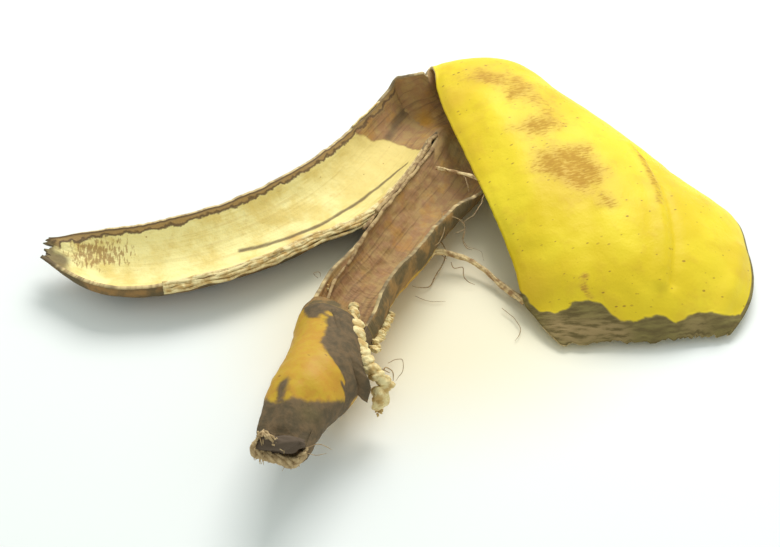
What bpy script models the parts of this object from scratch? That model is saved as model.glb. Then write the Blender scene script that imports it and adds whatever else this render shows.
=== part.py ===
"""Banana peel with three petals: one skin, the wide petal folded over, the stalk still on.

Units are metres, +Z is up and the peel lies on the table at z = 0.
The skin is one sheet. Each petal is swept through a few named stations:
(x, y, z, across, left width, left turn, right width, right turn, bend, slope)
  x, y, z  a point on the centre line, in millimetres
  across   heading of the section from its left edge to its right edge, in degrees
  width    length of skin from the centre line to that edge, in millimetres
  turn     how far the skin has turned inwards by the edge, in degrees
  bend     1 turns evenly like a circle, less than 1 turns mostly near the centre line
  slope    how far the section dips from its left edge to its right edge, in degrees, 0 if left out
The inside of the skin is the inside of the turn.
"""
import bpy
import bmesh
import numpy as np

MM = 0.001

# Petals
LEFT_PETAL = [
    (11.5, 74.5, 1.6, 142, 14.0, 46, 19.0, 85, 1.0),
    (2.0, 60.5, 1.3, 136, 16.0, 62, 18.0, 82, 1.0),
    (-14.5, 35.0, 1.2, 127, 19.0, 74, 19.5, 76, 1.0),
    (-38.5, 11.5, 1.2, 115, 19.5, 78, 21.0, 75, 1.0),
    (-65.0, -1.5, 1.3, 104, 19.0, 80, 20.8, 74, 1.0),
    (-89.0, -5.5, 3.2, 96, 16.0, 76, 17.8, 71, 1.0),
    (-110.0, -1.0, 10.5, 104, 3.4, 50, 5.2, 45, 1.0),
]
MIDDLE_PETAL = [
    (31.0, 58.5, 1.5, 146, 16.0, 56, 14.0, 50, 0.9),
    (23.0, 39.5, 1.3, 147, 16.5, 64, 16.0, 66, 0.9),
    (10.0, 18.5, 1.2, 148, 23.0, 104, 15.0, 74, 0.9),
    (-2.0, -2.5, 1.2, 150, 26.0, 112, 15.0, 80, 0.9),
    (-11.5, -18.5, 1.4, 154, 26.5, 114, 15.5, 88, 0.9),
    (-14.0, -27.0, 1.6, 156, 26.0, 116, 17.0, 100, 0.95),
    (-16.0, -33.5, 1.9, 158, 25.0, 118, 28.5, 165, 1.0),
    (-17.3, -39.5, 2.6, 159, 23.0, 119, 40.5, 226, 1.0),
    (-17.9, -46.0, 3.6, 160, 21.5, 120, 43.0, 240, 1.0),
    (-19.0, -55.0, 6.0, 161, 21.3, 120, 42.6, 240, 1.0),
    (-21.2, -62.5, 9.0, 161, 20.3, 120, 40.6, 240, 1.0),
    (-24.4, -70.0, 12.2, 161, 18.3, 120, 36.6, 240, 1.0),
    (-26.8, -77.5, 14.8, 161, 16.8, 120, 33.6, 240, 1.0),
    (-28.6, -85.5, 16.4, 161, 16.0, 120, 32.0, 240, 1.0),
]
FOLDED_PETAL = [
    (29.9, 80.6, 1.4, -20, 23.0, 80, 13.8, 30, 1.0, 0),
    (33.4, 93.0, 9.4, -6, 19.2, 24, 15.5, 28, 1.0, 12),
    (37.0, 90.8, 17.0, 2, 22.0, 34, 17.0, 38, 1.0, 10),
    (41.4, 78.8, 21.8, 8, 26.0, 36, 19.5, 52, 1.0, 4),
    (50.0, 53.8, 23.6, 15, 29.0, 32, 36.0, 60, 1.0, 0),
    (60.6, 28.2, 23.5, 18, 32.5, 32, 49.0, 58, 1.0, 0),
    (70.4, 5.3, 22.0, 19, 36.5, 40, 53.5, 47, 1.0, 0),
    (77.4, -13.2, 16.5, 16, 39.0, 41, 45.0, 40, 1.0, 0),
    (81.8, -25.0, 8.0, 7, 37.0, 23, 31.0, 26, 1.0, 0),
    (83.0, -30.5, 1.4, 4, 31.0, 2, 19.0, 2, 1.0, 0),
]
CROTCH = (16.6, 61.3, 8.0)
CROTCH_REACH = 40.0
TEAR_LINE = [CROTCH, (14.0, 54.5, 9.0), (10.4, 44.8, 9.8), (6.2, 36.0, 10.1), (1.0, 26.5, 10.4),
             (-4.2, 17.0, 10.6), (-8.5, 9.5, 10.8), (-13.5, 1.5, 10.9)]
TEAR_GAP = 1.1
TEAR_REACH = 44.0
TEAR_EASE = 30.0
BASE_FULLNESS = 0.7
BASE_EDGE_RISE = 4.0

# Skin
SKIN_THICKNESS = 2.4
EDGE_THINNING = 0.5
EDGE_BAND = 4.0
WELD = 0.02
SEAM_CATCH = 2.5

# Solid core in the stalk, sunk below the cut end
CORE_START = 0.86
CORE_END = 0.965
CORE_SIDES = 20
CORE_ROWS = 7

# Thick fibre strand from the middle petal to the folded petal: x, y, z, radius
STRAND = [
    (12.7, 3.2, 6.9, 1.0),
    (15.8, 4.6, 6.0, 1.2),
    (20.0, 4.6, 4.6, 1.1),
    (25.0, 2.6, 3.4, 1.1),
    (30.5, -1.6, 2.6, 1.1),
    (35.0, -6.4, 2.2, 1.0),
    (41.5, -14.0, 3.2, 0.9),
]
STRAND_SIDES = 8
STRAND_ROWS = 22

# Facets along each piece and across one narrow petal
LEFT_ROWS = 26
MIDDLE_ROWS = 38
FOLDED_ROWS = 32
BASE_ROWS = 8
PETAL_COLUMNS = 12
QUADRATURE = 32


def smooth(x):
    """Ease from 0 to 1."""
    x = np.clip(x, 0.0, 1.0)
    return x * x * (3.0 - 2.0 * x)


def second_derivatives(values, gaps):
    """Second derivatives of the natural cubic spline through the stations."""
    count = len(values)
    matrix = np.zeros((count, count))
    right = np.zeros(values.shape)
    matrix[0, 0] = matrix[-1, -1] = 1.0
    for i in range(1, count - 1):
        matrix[i, i - 1] = gaps[i - 1]
        matrix[i, i] = 2.0 * (gaps[i - 1] + gaps[i])
        matrix[i, i + 1] = gaps[i]
        right[i] = 6.0 * ((values[i + 1] - values[i]) / gaps[i] - (values[i] - values[i - 1]) / gaps[i - 1])
    return np.linalg.solve(matrix, right)


def steady_slopes(values, gaps):
    """Slopes of a curve through the stations that never overshoots them."""
    delta = np.diff(values) / gaps
    slopes = np.zeros(len(values))
    slopes[0] = delta[0]
    slopes[-1] = delta[-1]
    for i in range(1, len(values) - 1):
        if delta[i - 1] * delta[i] > 0.0:
            before = 2.0 * gaps[i] + gaps[i - 1]
            after = gaps[i] + 2.0 * gaps[i - 1]
            slopes[i] = (before + after) / (before / delta[i - 1] + after / delta[i])
    return slopes


def spline(stations):
    """Function of 0..1 along the stations, and the length of the line in millimetres."""
    columns = max(len(row) for row in stations)
    values = np.array([row + (0.0,) * (columns - len(row)) for row in stations])
    steps = np.linalg.norm(np.diff(values[:, :3], axis=0), axis=1)
    length = steps.sum()
    knots = np.concatenate([[0.0], np.cumsum(steps)]) / length
    gaps = np.diff(knots)
    bends = second_derivatives(values, gaps)
    slopes = [steady_slopes(values[:, k], gaps) for k in range(values.shape[1])]

    def at(u):
        u = np.atleast_1d(np.asarray(u, dtype=float))
        i = np.clip(np.searchsorted(knots, u, side="right") - 1, 0, len(knots) - 2)
        gap = gaps[i]
        a = (knots[i + 1] - u) / gap
        b = 1.0 - a
        cubic = ((a ** 3 - a)[:, None] * bends[i] + (b ** 3 - b)[:, None] * bends[i + 1]) / 6.0
        out = a[:, None] * values[i] + b[:, None] * values[i + 1] + cubic * (gap ** 2)[:, None]
        for k in range(4, values.shape[1]):
            y, m = values[:, k], slopes[k]
            out[:, k] = ((2 * b ** 3 - 3 * b ** 2 + 1) * y[i] + (b ** 3 - 2 * b ** 2 + b) * gap * m[i]
                         + (-2 * b ** 3 + 3 * b ** 2) * y[i + 1] + (b ** 3 - b ** 2) * gap * m[i + 1])
        return out

    return at, length


def frames(at, u):
    """Stations at u with the unit headings across the skin and towards its inside."""
    small = 1e-4
    rows = at(u)
    ahead = at(np.minimum(u + small, 1.0))[:, :3] - at(np.maximum(u - small, 0.0))[:, :3]
    ahead /= np.linalg.norm(ahead, axis=1)[:, None]
    angle = np.radians(rows[:, 3])
    dip = np.radians(rows[:, 9]) if rows.shape[1] > 9 else 0.0 * angle
    across = np.stack([np.cos(angle) * np.cos(dip), np.sin(angle) * np.cos(dip), -np.sin(dip)], axis=1)
    inward = np.cross(across, ahead)
    inward /= np.linalg.norm(inward, axis=1)[:, None]
    return rows, across, inward


def sweep(stations, u, v):
    """Grid of points of one petal: u runs along it, v from -1 to 1 across it."""
    at, length = spline(stations)
    rows, across, inward = frames(at, u)
    left = v[None, :] < 0.0
    width = np.where(left, rows[:, 4:5], rows[:, 6:7])
    turn = np.radians(np.where(left, rows[:, 5:6], rows[:, 7:8]))
    parts = (np.arange(QUADRATURE) + 0.5) / QUADRATURE
    reach = np.abs(v)[None, :, None] * parts
    angle = turn[..., None] * reach ** rows[:, 8][:, None, None]
    aside = width * v[None, :] * np.cos(angle).mean(-1)
    lift = width * np.abs(v)[None, :] * np.sin(angle).mean(-1)
    return rows[:, None, :3] + aside[..., None] * across[:, None] + lift[..., None] * inward[:, None]


def pull_to_crotch(grid, length, side):
    """Bring the start of one edge of a petal onto the crotch point, easing off along it."""
    along = np.linspace(0.0, 1.0, grid.shape[0]) * length
    v = np.linspace(-1.0, 1.0, grid.shape[1])
    edge = -1 if side > 0 else 0
    across = (((1.0 + side * v) / 2.0) ** 2)[None, :, None]
    ease = (np.clip(1.0 - along / CROTCH_REACH, 0.0, 1.0) ** 2)[:, None, None]
    grid = grid + (np.array(CROTCH) - grid[0, edge]) * ease * across
    beside = np.array([beside_tear(point, side, s) for point, s in zip(grid[:, edge], along)])
    ease = (1.0 - smooth((along - TEAR_REACH) / TEAR_EASE))[:, None, None]
    return grid + (beside - grid[:, edge])[:, None] * ease * across


def beside_tear(point, side, along):
    """Place next to the tear line for a point of a torn edge, on its own petal's side of it."""
    line = np.array(TEAR_LINE)
    best = None
    for a, b in zip(line[:-1], line[1:]):
        step = b - a
        share = np.clip((point - a) @ step / (step @ step), 0.0, 1.0)
        near = a + share * step
        if best is None or np.linalg.norm(point - near) < np.linalg.norm(point - best[0]):
            best = (near, step)
    near, step = best
    out = np.array([-step[1], step[0], 0.0]) / np.hypot(step[0], step[1])
    return near + out * side * TEAR_GAP * smooth(along / 8.0)


def close_seam(grid):
    """Where the two edges of the neck nearly meet, bring them onto one seam line."""
    gap = np.linalg.norm(grid[:, 0] - grid[:, -1], axis=1)
    shut = gap < SEAM_CATCH
    middle = (grid[:, 0] + grid[:, -1]) / 2.0
    grid[shut, 0] = middle[shut]
    grid[shut, -1] = middle[shut]
    return grid


def start_heading(grid, length):
    """Heading out of the start of a petal, per millimetre."""
    return (grid[0] - grid[1]) * (grid.shape[0] - 1) / length


def base_patch(left, middle, folded, lengths, rows):
    """Skin that joins the two narrow petals to the folded one, smooth on both sides."""
    first = np.concatenate([left[0, ::-1], middle[0, ::-1][1:]])
    leaving = [start_heading(left, lengths[0])[::-1], start_heading(middle, lengths[1])[::-1][1:]]
    out = np.concatenate(leaving)
    seam = left.shape[1] - 1
    out[seam] = (out[seam - 1] + out[seam + 1]) / 2.0
    last = folded[0]
    on = (folded[1] - folded[0]) * (folded.shape[0] - 1) / lengths[2]
    span = np.linalg.norm(last - first, axis=1)[:, None] * BASE_FULLNESS
    w = np.linspace(0.0, 1.0, rows)[:, None, None]
    grid = ((2 * w ** 3 - 3 * w ** 2 + 1) * first + (w ** 3 - 2 * w ** 2 + w) * out * span
            + (-2 * w ** 3 + 3 * w ** 2) * last + (w ** 3 - w ** 2) * on * span)
    back = smooth(1.0 - np.linspace(0.0, 4.0, grid.shape[1]))[None, :, None]
    grid[..., 2:] += BASE_EDGE_RISE * (4.0 * w * (1.0 - w)) ** 2 * back
    return grid


def petal_grids():
    """The four grids of the skin, in millimetres."""
    v = np.linspace(-1.0, 1.0, PETAL_COLUMNS + 1)
    wide = np.linspace(-1.0, 1.0, 2 * PETAL_COLUMNS + 1)
    lengths = [spline(table)[1] for table in (LEFT_PETAL, MIDDLE_PETAL, FOLDED_PETAL)]
    left = sweep(LEFT_PETAL, np.linspace(0.0, 1.0, LEFT_ROWS), v)
    middle = sweep(MIDDLE_PETAL, np.linspace(0.0, 1.0, MIDDLE_ROWS), v)
    folded = sweep(FOLDED_PETAL, np.linspace(0.0, 1.0, FOLDED_ROWS), wide)
    left = pull_to_crotch(left, lengths[0], -1.0)
    middle = close_seam(pull_to_crotch(middle, lengths[1], 1.0))
    base = base_patch(left, middle, folded, lengths, BASE_ROWS)
    return [left, middle, folded, base[:, ::-1]]


def add_grid(bm, grid):
    """One quad sheet through a grid of points."""
    rows, columns = grid.shape[:2]
    made = bmesh.ops.create_grid(bm, x_segments=columns - 1, y_segments=rows - 1, size=1.0)["verts"]
    for vert in made:
        i = int(round((vert.co.y + 1.0) / 2.0 * (rows - 1)))
        j = int(round((vert.co.x + 1.0) / 2.0 * (columns - 1)))
        vert.co = grid[i, j] * MM


def skin_object():
    """The skin as a thin closed sheet, a little thinner towards its torn edges."""
    bm = bmesh.new()
    for grid in petal_grids():
        add_grid(bm, grid)
    bmesh.ops.remove_doubles(bm, verts=bm.verts[:], dist=WELD * MM)
    bmesh.ops.recalc_face_normals(bm, faces=bm.faces[:])
    mesh = bpy.data.meshes.new("peel")
    bm.to_mesh(mesh)
    skin = bpy.data.objects.new("peel", mesh)
    bpy.context.collection.objects.link(skin)
    rims = [vert.co.copy() for vert in bm.verts if vert.is_boundary]
    group = skin.vertex_groups.new(name="thickness")
    for vert in bm.verts:
        near = min((vert.co - rim).length for rim in rims)
        share = 1.0 - EDGE_THINNING * (1.0 - smooth(near / (EDGE_BAND * MM)))
        group.add([vert.index], float(share), "REPLACE")
    bm.free()
    modifier = skin.modifiers.new("thickness", "SOLIDIFY")
    modifier.thickness = SKIN_THICKNESS * MM
    modifier.offset = 0.0
    modifier.vertex_group = "thickness"
    return skin


def capped_tube(name, rings):
    """Closed solid through a list of rings of points."""
    bm = bmesh.new()
    loops = [[bm.verts.new(point * MM) for point in ring] for ring in rings]
    for near, far in zip(loops, loops[1:]):
        for k in range(len(near)):
            n = (k + 1) % len(near)
            bm.faces.new((near[k], near[n], far[n], far[k]))
    bm.faces.new(loops[0][::-1])
    bm.faces.new(loops[-1])
    bmesh.ops.recalc_face_normals(bm, faces=bm.faces[:])
    mesh = bpy.data.meshes.new(name)
    bm.to_mesh(mesh)
    bm.free()
    tube = bpy.data.objects.new(name, mesh)
    bpy.context.collection.objects.link(tube)
    return tube


def stalk_core():
    """Solid core that fills the stalk up to the middle of its skin."""
    u = np.linspace(CORE_START, CORE_END, CORE_ROWS)
    at, length = spline(MIDDLE_PETAL)
    rows, across, inward = frames(at, u)
    rings = []
    for row, side, up in zip(rows, across, inward):
        radius = row[4] / np.radians(row[5])
        centre = row[:3] + radius * up
        turns = 2.0 * np.pi * (np.arange(CORE_SIDES) + 0.5) / CORE_SIDES
        rings.append([centre + radius * (np.sin(t) * side - np.cos(t) * up) for t in turns])
    return capped_tube("core", rings)


def strand():
    """Thick fibre strand between the petals."""
    at, length = spline(STRAND)
    u = np.linspace(0.0, 1.0, STRAND_ROWS)
    points = at(u)
    ahead = np.gradient(points[:, :3], axis=0)
    rings = []
    for point, along in zip(points, ahead):
        along = along / np.linalg.norm(along)
        side = np.cross(along, [0.0, 0.0, 1.0])
        side /= np.linalg.norm(side)
        up = np.cross(side, along)
        turns = 2.0 * np.pi * np.arange(STRAND_SIDES) / STRAND_SIDES
        rings.append([point[:3] + point[3] * (np.cos(t) * side + np.sin(t) * up) for t in turns])
    return capped_tube("strand", rings)


def apply_modifiers(target):
    """Turn the modified shape into the mesh itself."""
    graph = bpy.context.evaluated_depsgraph_get()
    mesh = bpy.data.meshes.new_from_object(target.evaluated_get(graph))
    target.modifiers.clear()
    target.data = mesh


def join_solid(target, other):
    """Union of two solids, kept in the first one."""
    modifier = target.modifiers.new("join", "BOOLEAN")
    modifier.operation = "UNION"
    modifier.object = other
    modifier.solver = "EXACT"
    apply_modifiers(target)
    bpy.data.objects.remove(other)


def centre_on_table(target):
    """Put the middle of the outline over the origin and the lowest point on the table."""
    points = np.array([vert.co[:] for vert in target.data.vertices])
    low, high = points.min(0), points.max(0)
    shift = np.array([(low[0] + high[0]) / 2.0, (low[1] + high[1]) / 2.0, low[2]])
    for vert in target.data.vertices:
        vert.co = np.array(vert.co[:]) - shift
    print("moved by", np.round(-shift / MM, 3), "size", np.round((high - low) / MM, 2))


def main():
    for item in list(bpy.data.objects):
        bpy.data.objects.remove(item)
    peel = skin_object()
    apply_modifiers(peel)
    join_solid(peel, stalk_core())
    join_solid(peel, strand())
    peel.vertex_groups.clear()
    centre_on_table(peel)


main()
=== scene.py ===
"""Banana peel lying open on a pale table, as a Blender add-on that is run as a script."""
import math

import bmesh
import bpy
import numpy as np
from bpy.props import FloatProperty, FloatVectorProperty, IntProperty
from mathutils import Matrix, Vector, kdtree, noise


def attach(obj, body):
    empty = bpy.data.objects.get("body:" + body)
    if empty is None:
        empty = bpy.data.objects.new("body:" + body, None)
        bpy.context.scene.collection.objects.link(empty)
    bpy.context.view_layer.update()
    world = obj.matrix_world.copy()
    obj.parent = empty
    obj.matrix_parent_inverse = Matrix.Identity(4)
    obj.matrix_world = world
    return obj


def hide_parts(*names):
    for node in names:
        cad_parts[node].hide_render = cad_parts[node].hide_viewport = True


bl_info = {
    "name": "Banana Peel",
    "version": (1, 0, 0),
    "blender": (4, 5, 0),
    "location": "3D View > Sidebar > Peel",
    "description": "Builds an opened banana peel with its torn neck, stalk and fibres",
    "category": "Add Mesh",
}

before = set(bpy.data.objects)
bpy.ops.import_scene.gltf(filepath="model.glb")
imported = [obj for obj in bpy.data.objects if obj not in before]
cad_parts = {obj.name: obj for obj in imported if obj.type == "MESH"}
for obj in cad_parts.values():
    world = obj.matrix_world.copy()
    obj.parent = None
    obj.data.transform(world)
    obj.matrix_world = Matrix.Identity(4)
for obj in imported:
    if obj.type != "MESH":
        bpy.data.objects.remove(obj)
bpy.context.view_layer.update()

MM = 0.001
# The skin is laid out before the model is centred; this moves it into the model's frame
FRAME_SHIFT = np.array([-2.881, -3.619, 0.319])

# Petals as in the CAD model: (x, y, z, across, left width, left turn, right width, right turn,
# bend, slope), in millimetres and degrees
LEFT_PETAL = [
    (11.5, 74.5, 1.6, 142, 14.0, 46, 19.0, 85, 1.0),
    (2.0, 60.5, 1.3, 136, 16.0, 62, 18.0, 82, 1.0),
    (-14.5, 35.0, 1.2, 127, 19.0, 74, 19.5, 76, 1.0),
    (-38.5, 11.5, 1.2, 115, 19.5, 78, 21.0, 75, 1.0),
    (-65.0, -1.5, 1.3, 104, 19.0, 80, 20.8, 74, 1.0),
    (-89.0, -5.5, 3.2, 96, 16.0, 76, 17.8, 71, 1.0),
    (-110.0, -1.0, 10.5, 104, 3.4, 50, 5.2, 45, 1.0),
]
MIDDLE_PETAL = [
    (31.0, 58.5, 1.5, 146, 16.0, 56, 14.0, 50, 0.9),
    (23.0, 39.5, 1.3, 147, 16.5, 64, 16.0, 66, 0.9),
    (10.0, 18.5, 1.2, 148, 23.0, 104, 15.0, 74, 0.9),
    (-2.0, -2.5, 1.2, 150, 26.0, 112, 15.0, 80, 0.9),
    (-11.5, -18.5, 1.4, 154, 26.5, 114, 15.5, 88, 0.9),
    (-14.0, -27.0, 1.6, 156, 26.0, 116, 17.0, 100, 0.95),
    (-16.0, -33.5, 1.9, 158, 25.0, 118, 28.5, 165, 1.0),
    (-17.3, -39.5, 2.6, 159, 23.0, 119, 40.5, 226, 1.0),
    (-17.9, -46.0, 3.6, 160, 21.5, 120, 43.0, 240, 1.0),
    (-19.0, -55.0, 6.0, 161, 21.3, 120, 42.6, 240, 1.0),
    (-21.2, -62.5, 9.0, 161, 20.3, 120, 40.6, 240, 1.0),
    (-24.4, -70.0, 12.2, 161, 18.3, 120, 36.6, 240, 1.0),
    (-26.8, -77.5, 14.8, 161, 16.8, 120, 33.6, 240, 1.0),
    (-28.6, -85.5, 16.4, 161, 16.0, 120, 32.0, 240, 1.0),
]
FOLDED_PETAL = [
    (29.9, 80.6, 1.4, -20, 23.0, 80, 13.8, 30, 1.0, 0),
    (33.4, 93.0, 9.4, -6, 19.2, 24, 15.5, 28, 1.0, 12),
    (37.0, 90.8, 17.0, 2, 22.0, 34, 17.0, 38, 1.0, 10),
    (41.4, 78.8, 21.8, 8, 26.0, 36, 19.5, 52, 1.0, 4),
    (50.0, 53.8, 23.6, 15, 29.0, 32, 36.0, 60, 1.0, 0),
    (60.6, 28.2, 23.5, 18, 32.5, 32, 49.0, 58, 1.0, 0),
    (70.4, 5.3, 22.0, 19, 36.5, 40, 53.5, 47, 1.0, 0),
    (77.4, -13.2, 16.5, 16, 39.0, 41, 45.0, 40, 1.0, 0),
    (81.8, -25.0, 8.0, 7, 37.0, 23, 31.0, 26, 1.0, 0),
    (83.0, -30.5, 1.4, 4, 31.0, 2, 19.0, 2, 1.0, 0),
]
CROTCH = (16.6, 61.3, 8.0)
CROTCH_REACH = 40.0
TEAR_LINE = [CROTCH, (14.0, 54.5, 9.0), (10.4, 44.8, 9.8), (6.2, 36.0, 10.1), (1.0, 26.5, 10.4),
             (-4.2, 17.0, 10.6), (-8.5, 9.5, 10.8), (-13.5, 1.5, 10.9)]
TEAR_GAP = 1.1
TEAR_REACH = 44.0
TEAR_EASE = 30.0
BASE_FULLNESS = 0.7
BASE_EDGE_RISE = 4.0
SEAM_CATCH = 1.2
WELD = 0.02
QUADRATURE = 32
NECK_SHUT = 108.0
BASE_LENGTH = 24.0
STALK_FLATNESS = 0.7
STALK_DROP = 2.0
STALK_TAPER = 0.14
STALK_FLAT_LENGTH = 17.0

# Facets along and across the fine skin
LEFT_ROWS = 170
MIDDLE_ROWS = 200
FOLDED_ROWS = 190
BASE_ROWS = 30
PETAL_COLUMNS = 40

# Petal numbers kept on the skin
LEFT, MIDDLE, FOLDED, BASE = 0, 1, 2, 3

# Camera: where the photograph was taken from, over the layout's own origin
CAMERA_RISE = 46.0
CAMERA_DISTANCE = 368.7
CAMERA_LENS = 53.0
SENSOR_WIDTH = 36.0

# Painted places: x, y, z, reach in millimetres, strength.
BRUISES = [
    (30.0, 76.0, 21.0, 6.0, 0.45), (37.0, 74.0, 22.2, 7.0, 0.60), (45.3, 69.0, 22.8, 8.0, 0.62),
    (42.0, 61.4, 23.1, 6.0, 0.40), (49.0, 59.0, 23.5, 7.0, 0.50), (55.0, 52.0, 23.6, 7.0, 0.50),
    (39.4, 44.4, 22.0, 3.6, 0.60), (46.8, 44.0, 23.3, 5.0, 0.80), (52.6, 44.4, 23.6, 4.5, 0.60),
    (48.7, 31.0, 22.7, 6.5, 0.55), (53.4, 26.4, 22.9, 7.0, 0.55), (57.0, 21.0, 23.0, 6.0, 0.50),
    (61.5, 26.0, 23.4, 7.5, 0.62), (62.0, 16.8, 23.2, 6.0, 0.50), (66.2, 10.0, 22.6, 5.0, 0.50),
    (70.0, 6.0, 22.3, 3.5, 0.50), (62.2, 35.4, 23.4, 7.0, 0.50), (70.0, 20.0, 23.0, 6.0, 0.35),
    (58.9, -15.4, 14.6, 1.6, 0.90), (58.8, -18.6, 12.6, 1.4, 0.90), (60.4, -20.8, 11.0, 1.4, 0.80),
]
FRECKLE_PATCHES = [
    (82.8, -23.0, 8.5, 5.0, 1.0), (74.0, -20.0, 12.0, 8.0, 0.5), (58.0, -16.0, 14.0, 9.0, 0.5),
    (106.0, -8.0, 8.0, 9.0, 0.8), (98.0, -22.0, 6.0, 6.0, 0.6), (60.0, 20.0, 23.0, 22.0, 0.4),
]
TIP_DASHES = [(-84.0, 3.0, 7.0, 8.0, 0.55), (-93.0, 1.5, 7.0, 8.0, 0.75), (-100.0, 0.0, 8.0, 7.0, 0.5)]
TIP_DARK = [(-111.0, -3.0, 10.0, 6.0, 1.1), (-104.0, -9.5, 8.0, 5.0, 0.9), (-96.0, -14.0, 9.0, 4.0, 0.7),
            (-109.0, 2.7, 11.1, 3.0, 0.6), (-103.4, -2.5, 7.8, 3.0, 0.6), (-84.8, -17.1, 11.9, 3.0, 0.6)]
ORANGE = [
    (108.0, -2.0, 6.0, 8.0, 0.3), (100.0, -18.0, 6.0, 7.0, 0.3), (44.0, -14.0, 8.0, 7.0, 0.5),
    (20.5, 71.0, 17.3, 6.0, 0.45), (23.0, 64.3, 18.0, 5.0, 0.5), (34.0, 72.0, 21.4, 9.0, 0.45),
    (24.0, 52.0, 17.0, 4.0, 0.45), (28.5, 40.6, 17.5, 4.0, 0.35), (50.0, 64.0, 23.0, 10.0, 0.4),
    (56.0, 24.0, 23.0, 12.0, 0.55), (46.0, 44.0, 23.0, 8.0, 0.4),
]
ORANGE_ROOT = [(12.5, 75.5, 4.0, 3.6, 0.9), (13.5, 72.0, 3.0, 3.2, 0.8), (18.0, 66.0, 5.0, 3.0, 0.5)]
PALE_ROOT = [(22.0, 58.0, 4.0, 4.0, 0.9), (26.0, 52.0, 2.0, 4.0, 0.5)]
ROOT_SHADE = [(9.5, 77.5, 5.0), (5.1, 78.3, 4.1), (2.0, 72.2, 3.3), (-0.9, 64.7, 2.4)]
# The back edge of the base rises to a corner: x, y, z, reach, rise
EDGE_CORNERS = [(2.2, 82.8, 14.0, 2.6, 2.0), (12.5, 81.0, 15.5, 3.4, 3.6)]
# The brown of the two narrow petals' root ends at this line on the long petal
ROOT_BORDER = [(-16.0, 58.0), (-11.9, 59.3), (-8.3, 61.1), (-3.5, 63.0), (-0.8, 63.0), (4.9, 60.0),
               (9.5, 54.0), (12.0, 48.0)]
# The dark torn skirt of the folded petal ends at this line
SKIRT_TOP = [(34.0, -8.0), (40.1, -13.5), (43.2, -17.6), (46.0, -20.8), (51.2, -22.5), (55.8, -21.2),
             (59.7, -21.4), (63.3, -22.9), (68.3, -25.6), (73.6, -27.2), (77.4, -26.0), (80.2, -24.9),
             (86.8, -25.7), (95.6, -23.1), (103.0, -22.0), (108.0, -20.8), (112.0, -15.0)]
# Brown lines and dark bands: points, half width and strength
FRONT_LINE = ([(24.0, -12.3), (27.6, -9.8), (34.8, -7.6), (41.9, -5.8), (54.4, -3.4), (64.0, -3.5),
               (73.0, -1.9), (81.7, 0.3), (91.9, 2.4)], 1.0, 0.9)
LIP_ORANGE = [(-31.0, 13.6, 1.8, 3.5, 0.9)]
FOLD_LINE = ([(80.0, 39.0, 17.0), (81.6, 36.2, 17.9), (82.4, 30.0, 19.0), (82.8, 26.4, 19.6),
              (83.7, 18.3, 20.3), (84.0, 10.0, 20.2)], 1.3, 0.9)
SKIRT_TAN = [(50.2, -26.2, 3.4, 3.6, 0.9), (55.0, -28.3, 3.2, 4.0, 1.0), (60.2, -28.0, 4.2, 3.6, 1.0),
             (66.2, -28.0, 4.7, 3.6, 0.9), (70.0, -29.3, 3.7, 2.8, 0.7), (92.0, -26.5, 4.0, 5.0, 0.5)]
# On the neck and stalk, (along, side) on the middle petal: left edge of the dark band beside the mouth
MOUTH_BAND = [(108.0, 22.0), (111.8, 25.0), (115.3, 26.5), (117.4, 29.6), (122.0, 31.0), (128.2, 31.0),
              (131.5, 30.2), (134.8, 31.5), (136.7, 35.0), (137.5, 38.5), (138.0, 43.0)]
NECK_YELLOW_STREAK = [(-22.0, -42.0, 22.5), (-18.6, -40.6, 23.6), (-17.4, -39.4, 23.4)]
# Plane that the dark stalk lies beyond: heading (y, z) and place
STALK_SLOPE = (0.719, 0.695)
STALK_DARK_FROM = -33.8
# Where the stalk starts along the middle petal, and the side from which the neck is dark underneath
STALK_FROM = 135.0
UNDER_NECK_SIDE = -13.0
STALK_PATCH = [(-28.0, -67.0, 27.6), (-29.0, -72.0, 27.6)]
STALK_OLIVE = [(-21.8, -75.6, 27.6, 2.6, 0.9), (-19.0, -76.0, 26.5, 2.4, 0.8)]
NECK_WARM = [(-18.8, -51.0, 25.8, 2.4, 0.9), (-21.0, -49.0, 24.5, 3.5, 0.5),
             (-17.5, -64.5, 27.0, 3.5, 0.7), (-14.5, -66.5, 24.5, 3.0, 0.8),
             (-20.5, -61.0, 28.0, 4.0, 0.4), (-24.0, -57.0, 26.0, 3.0, 0.4)]
# Folds of the dry stalk: (along, side) places, half width and height in millimetres
STALK_FOLDS = [
    ([(148.0, 24.5), (153.0, 25.0), (160.0, 23.0)], 1.7, 1.0),
    ([(150.0, 29.5), (154.0, 30.0), (160.0, 29.0)], 2.4, -1.1),
    ([(146.0, 21.0), (152.0, 19.5), (160.0, 17.0)], 1.6, -0.8),
    ([(150.0, 35.0), (155.0, 34.0), (160.0, 34.0)], 1.6, 0.8),
]
# The flap beside the mouth of the neck: its root on the neck and its free edge
FLAP_ROOT = [(-17.8, -38.3, 22.6), (-16.9, -44.5, 23.9), (-16.2, -51.0, 25.4), (-14.2, -56.5, 25.3),
             (-12.0, -59.6, 22.6), (-10.8, -61.2, 18.0)]
FLAP_EDGE = [(-15.6, -37.2, 24.4), (-13.6, -44.4, 25.0), (-11.4, -51.0, 24.8), (-8.2, -56.4, 23.6),
             (-5.6, -60.2, 20.6), (-5.2, -61.6, 16.6), (-6.2, -61.8, 12.6)]
# Places given to the flap's finish, and its thickness in metres
FLAP_ALONG = (110.0, 138.0)
FLAP_SIDE = (31.0, 38.0)
FLAP_THICKNESS = 0.0016
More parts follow.
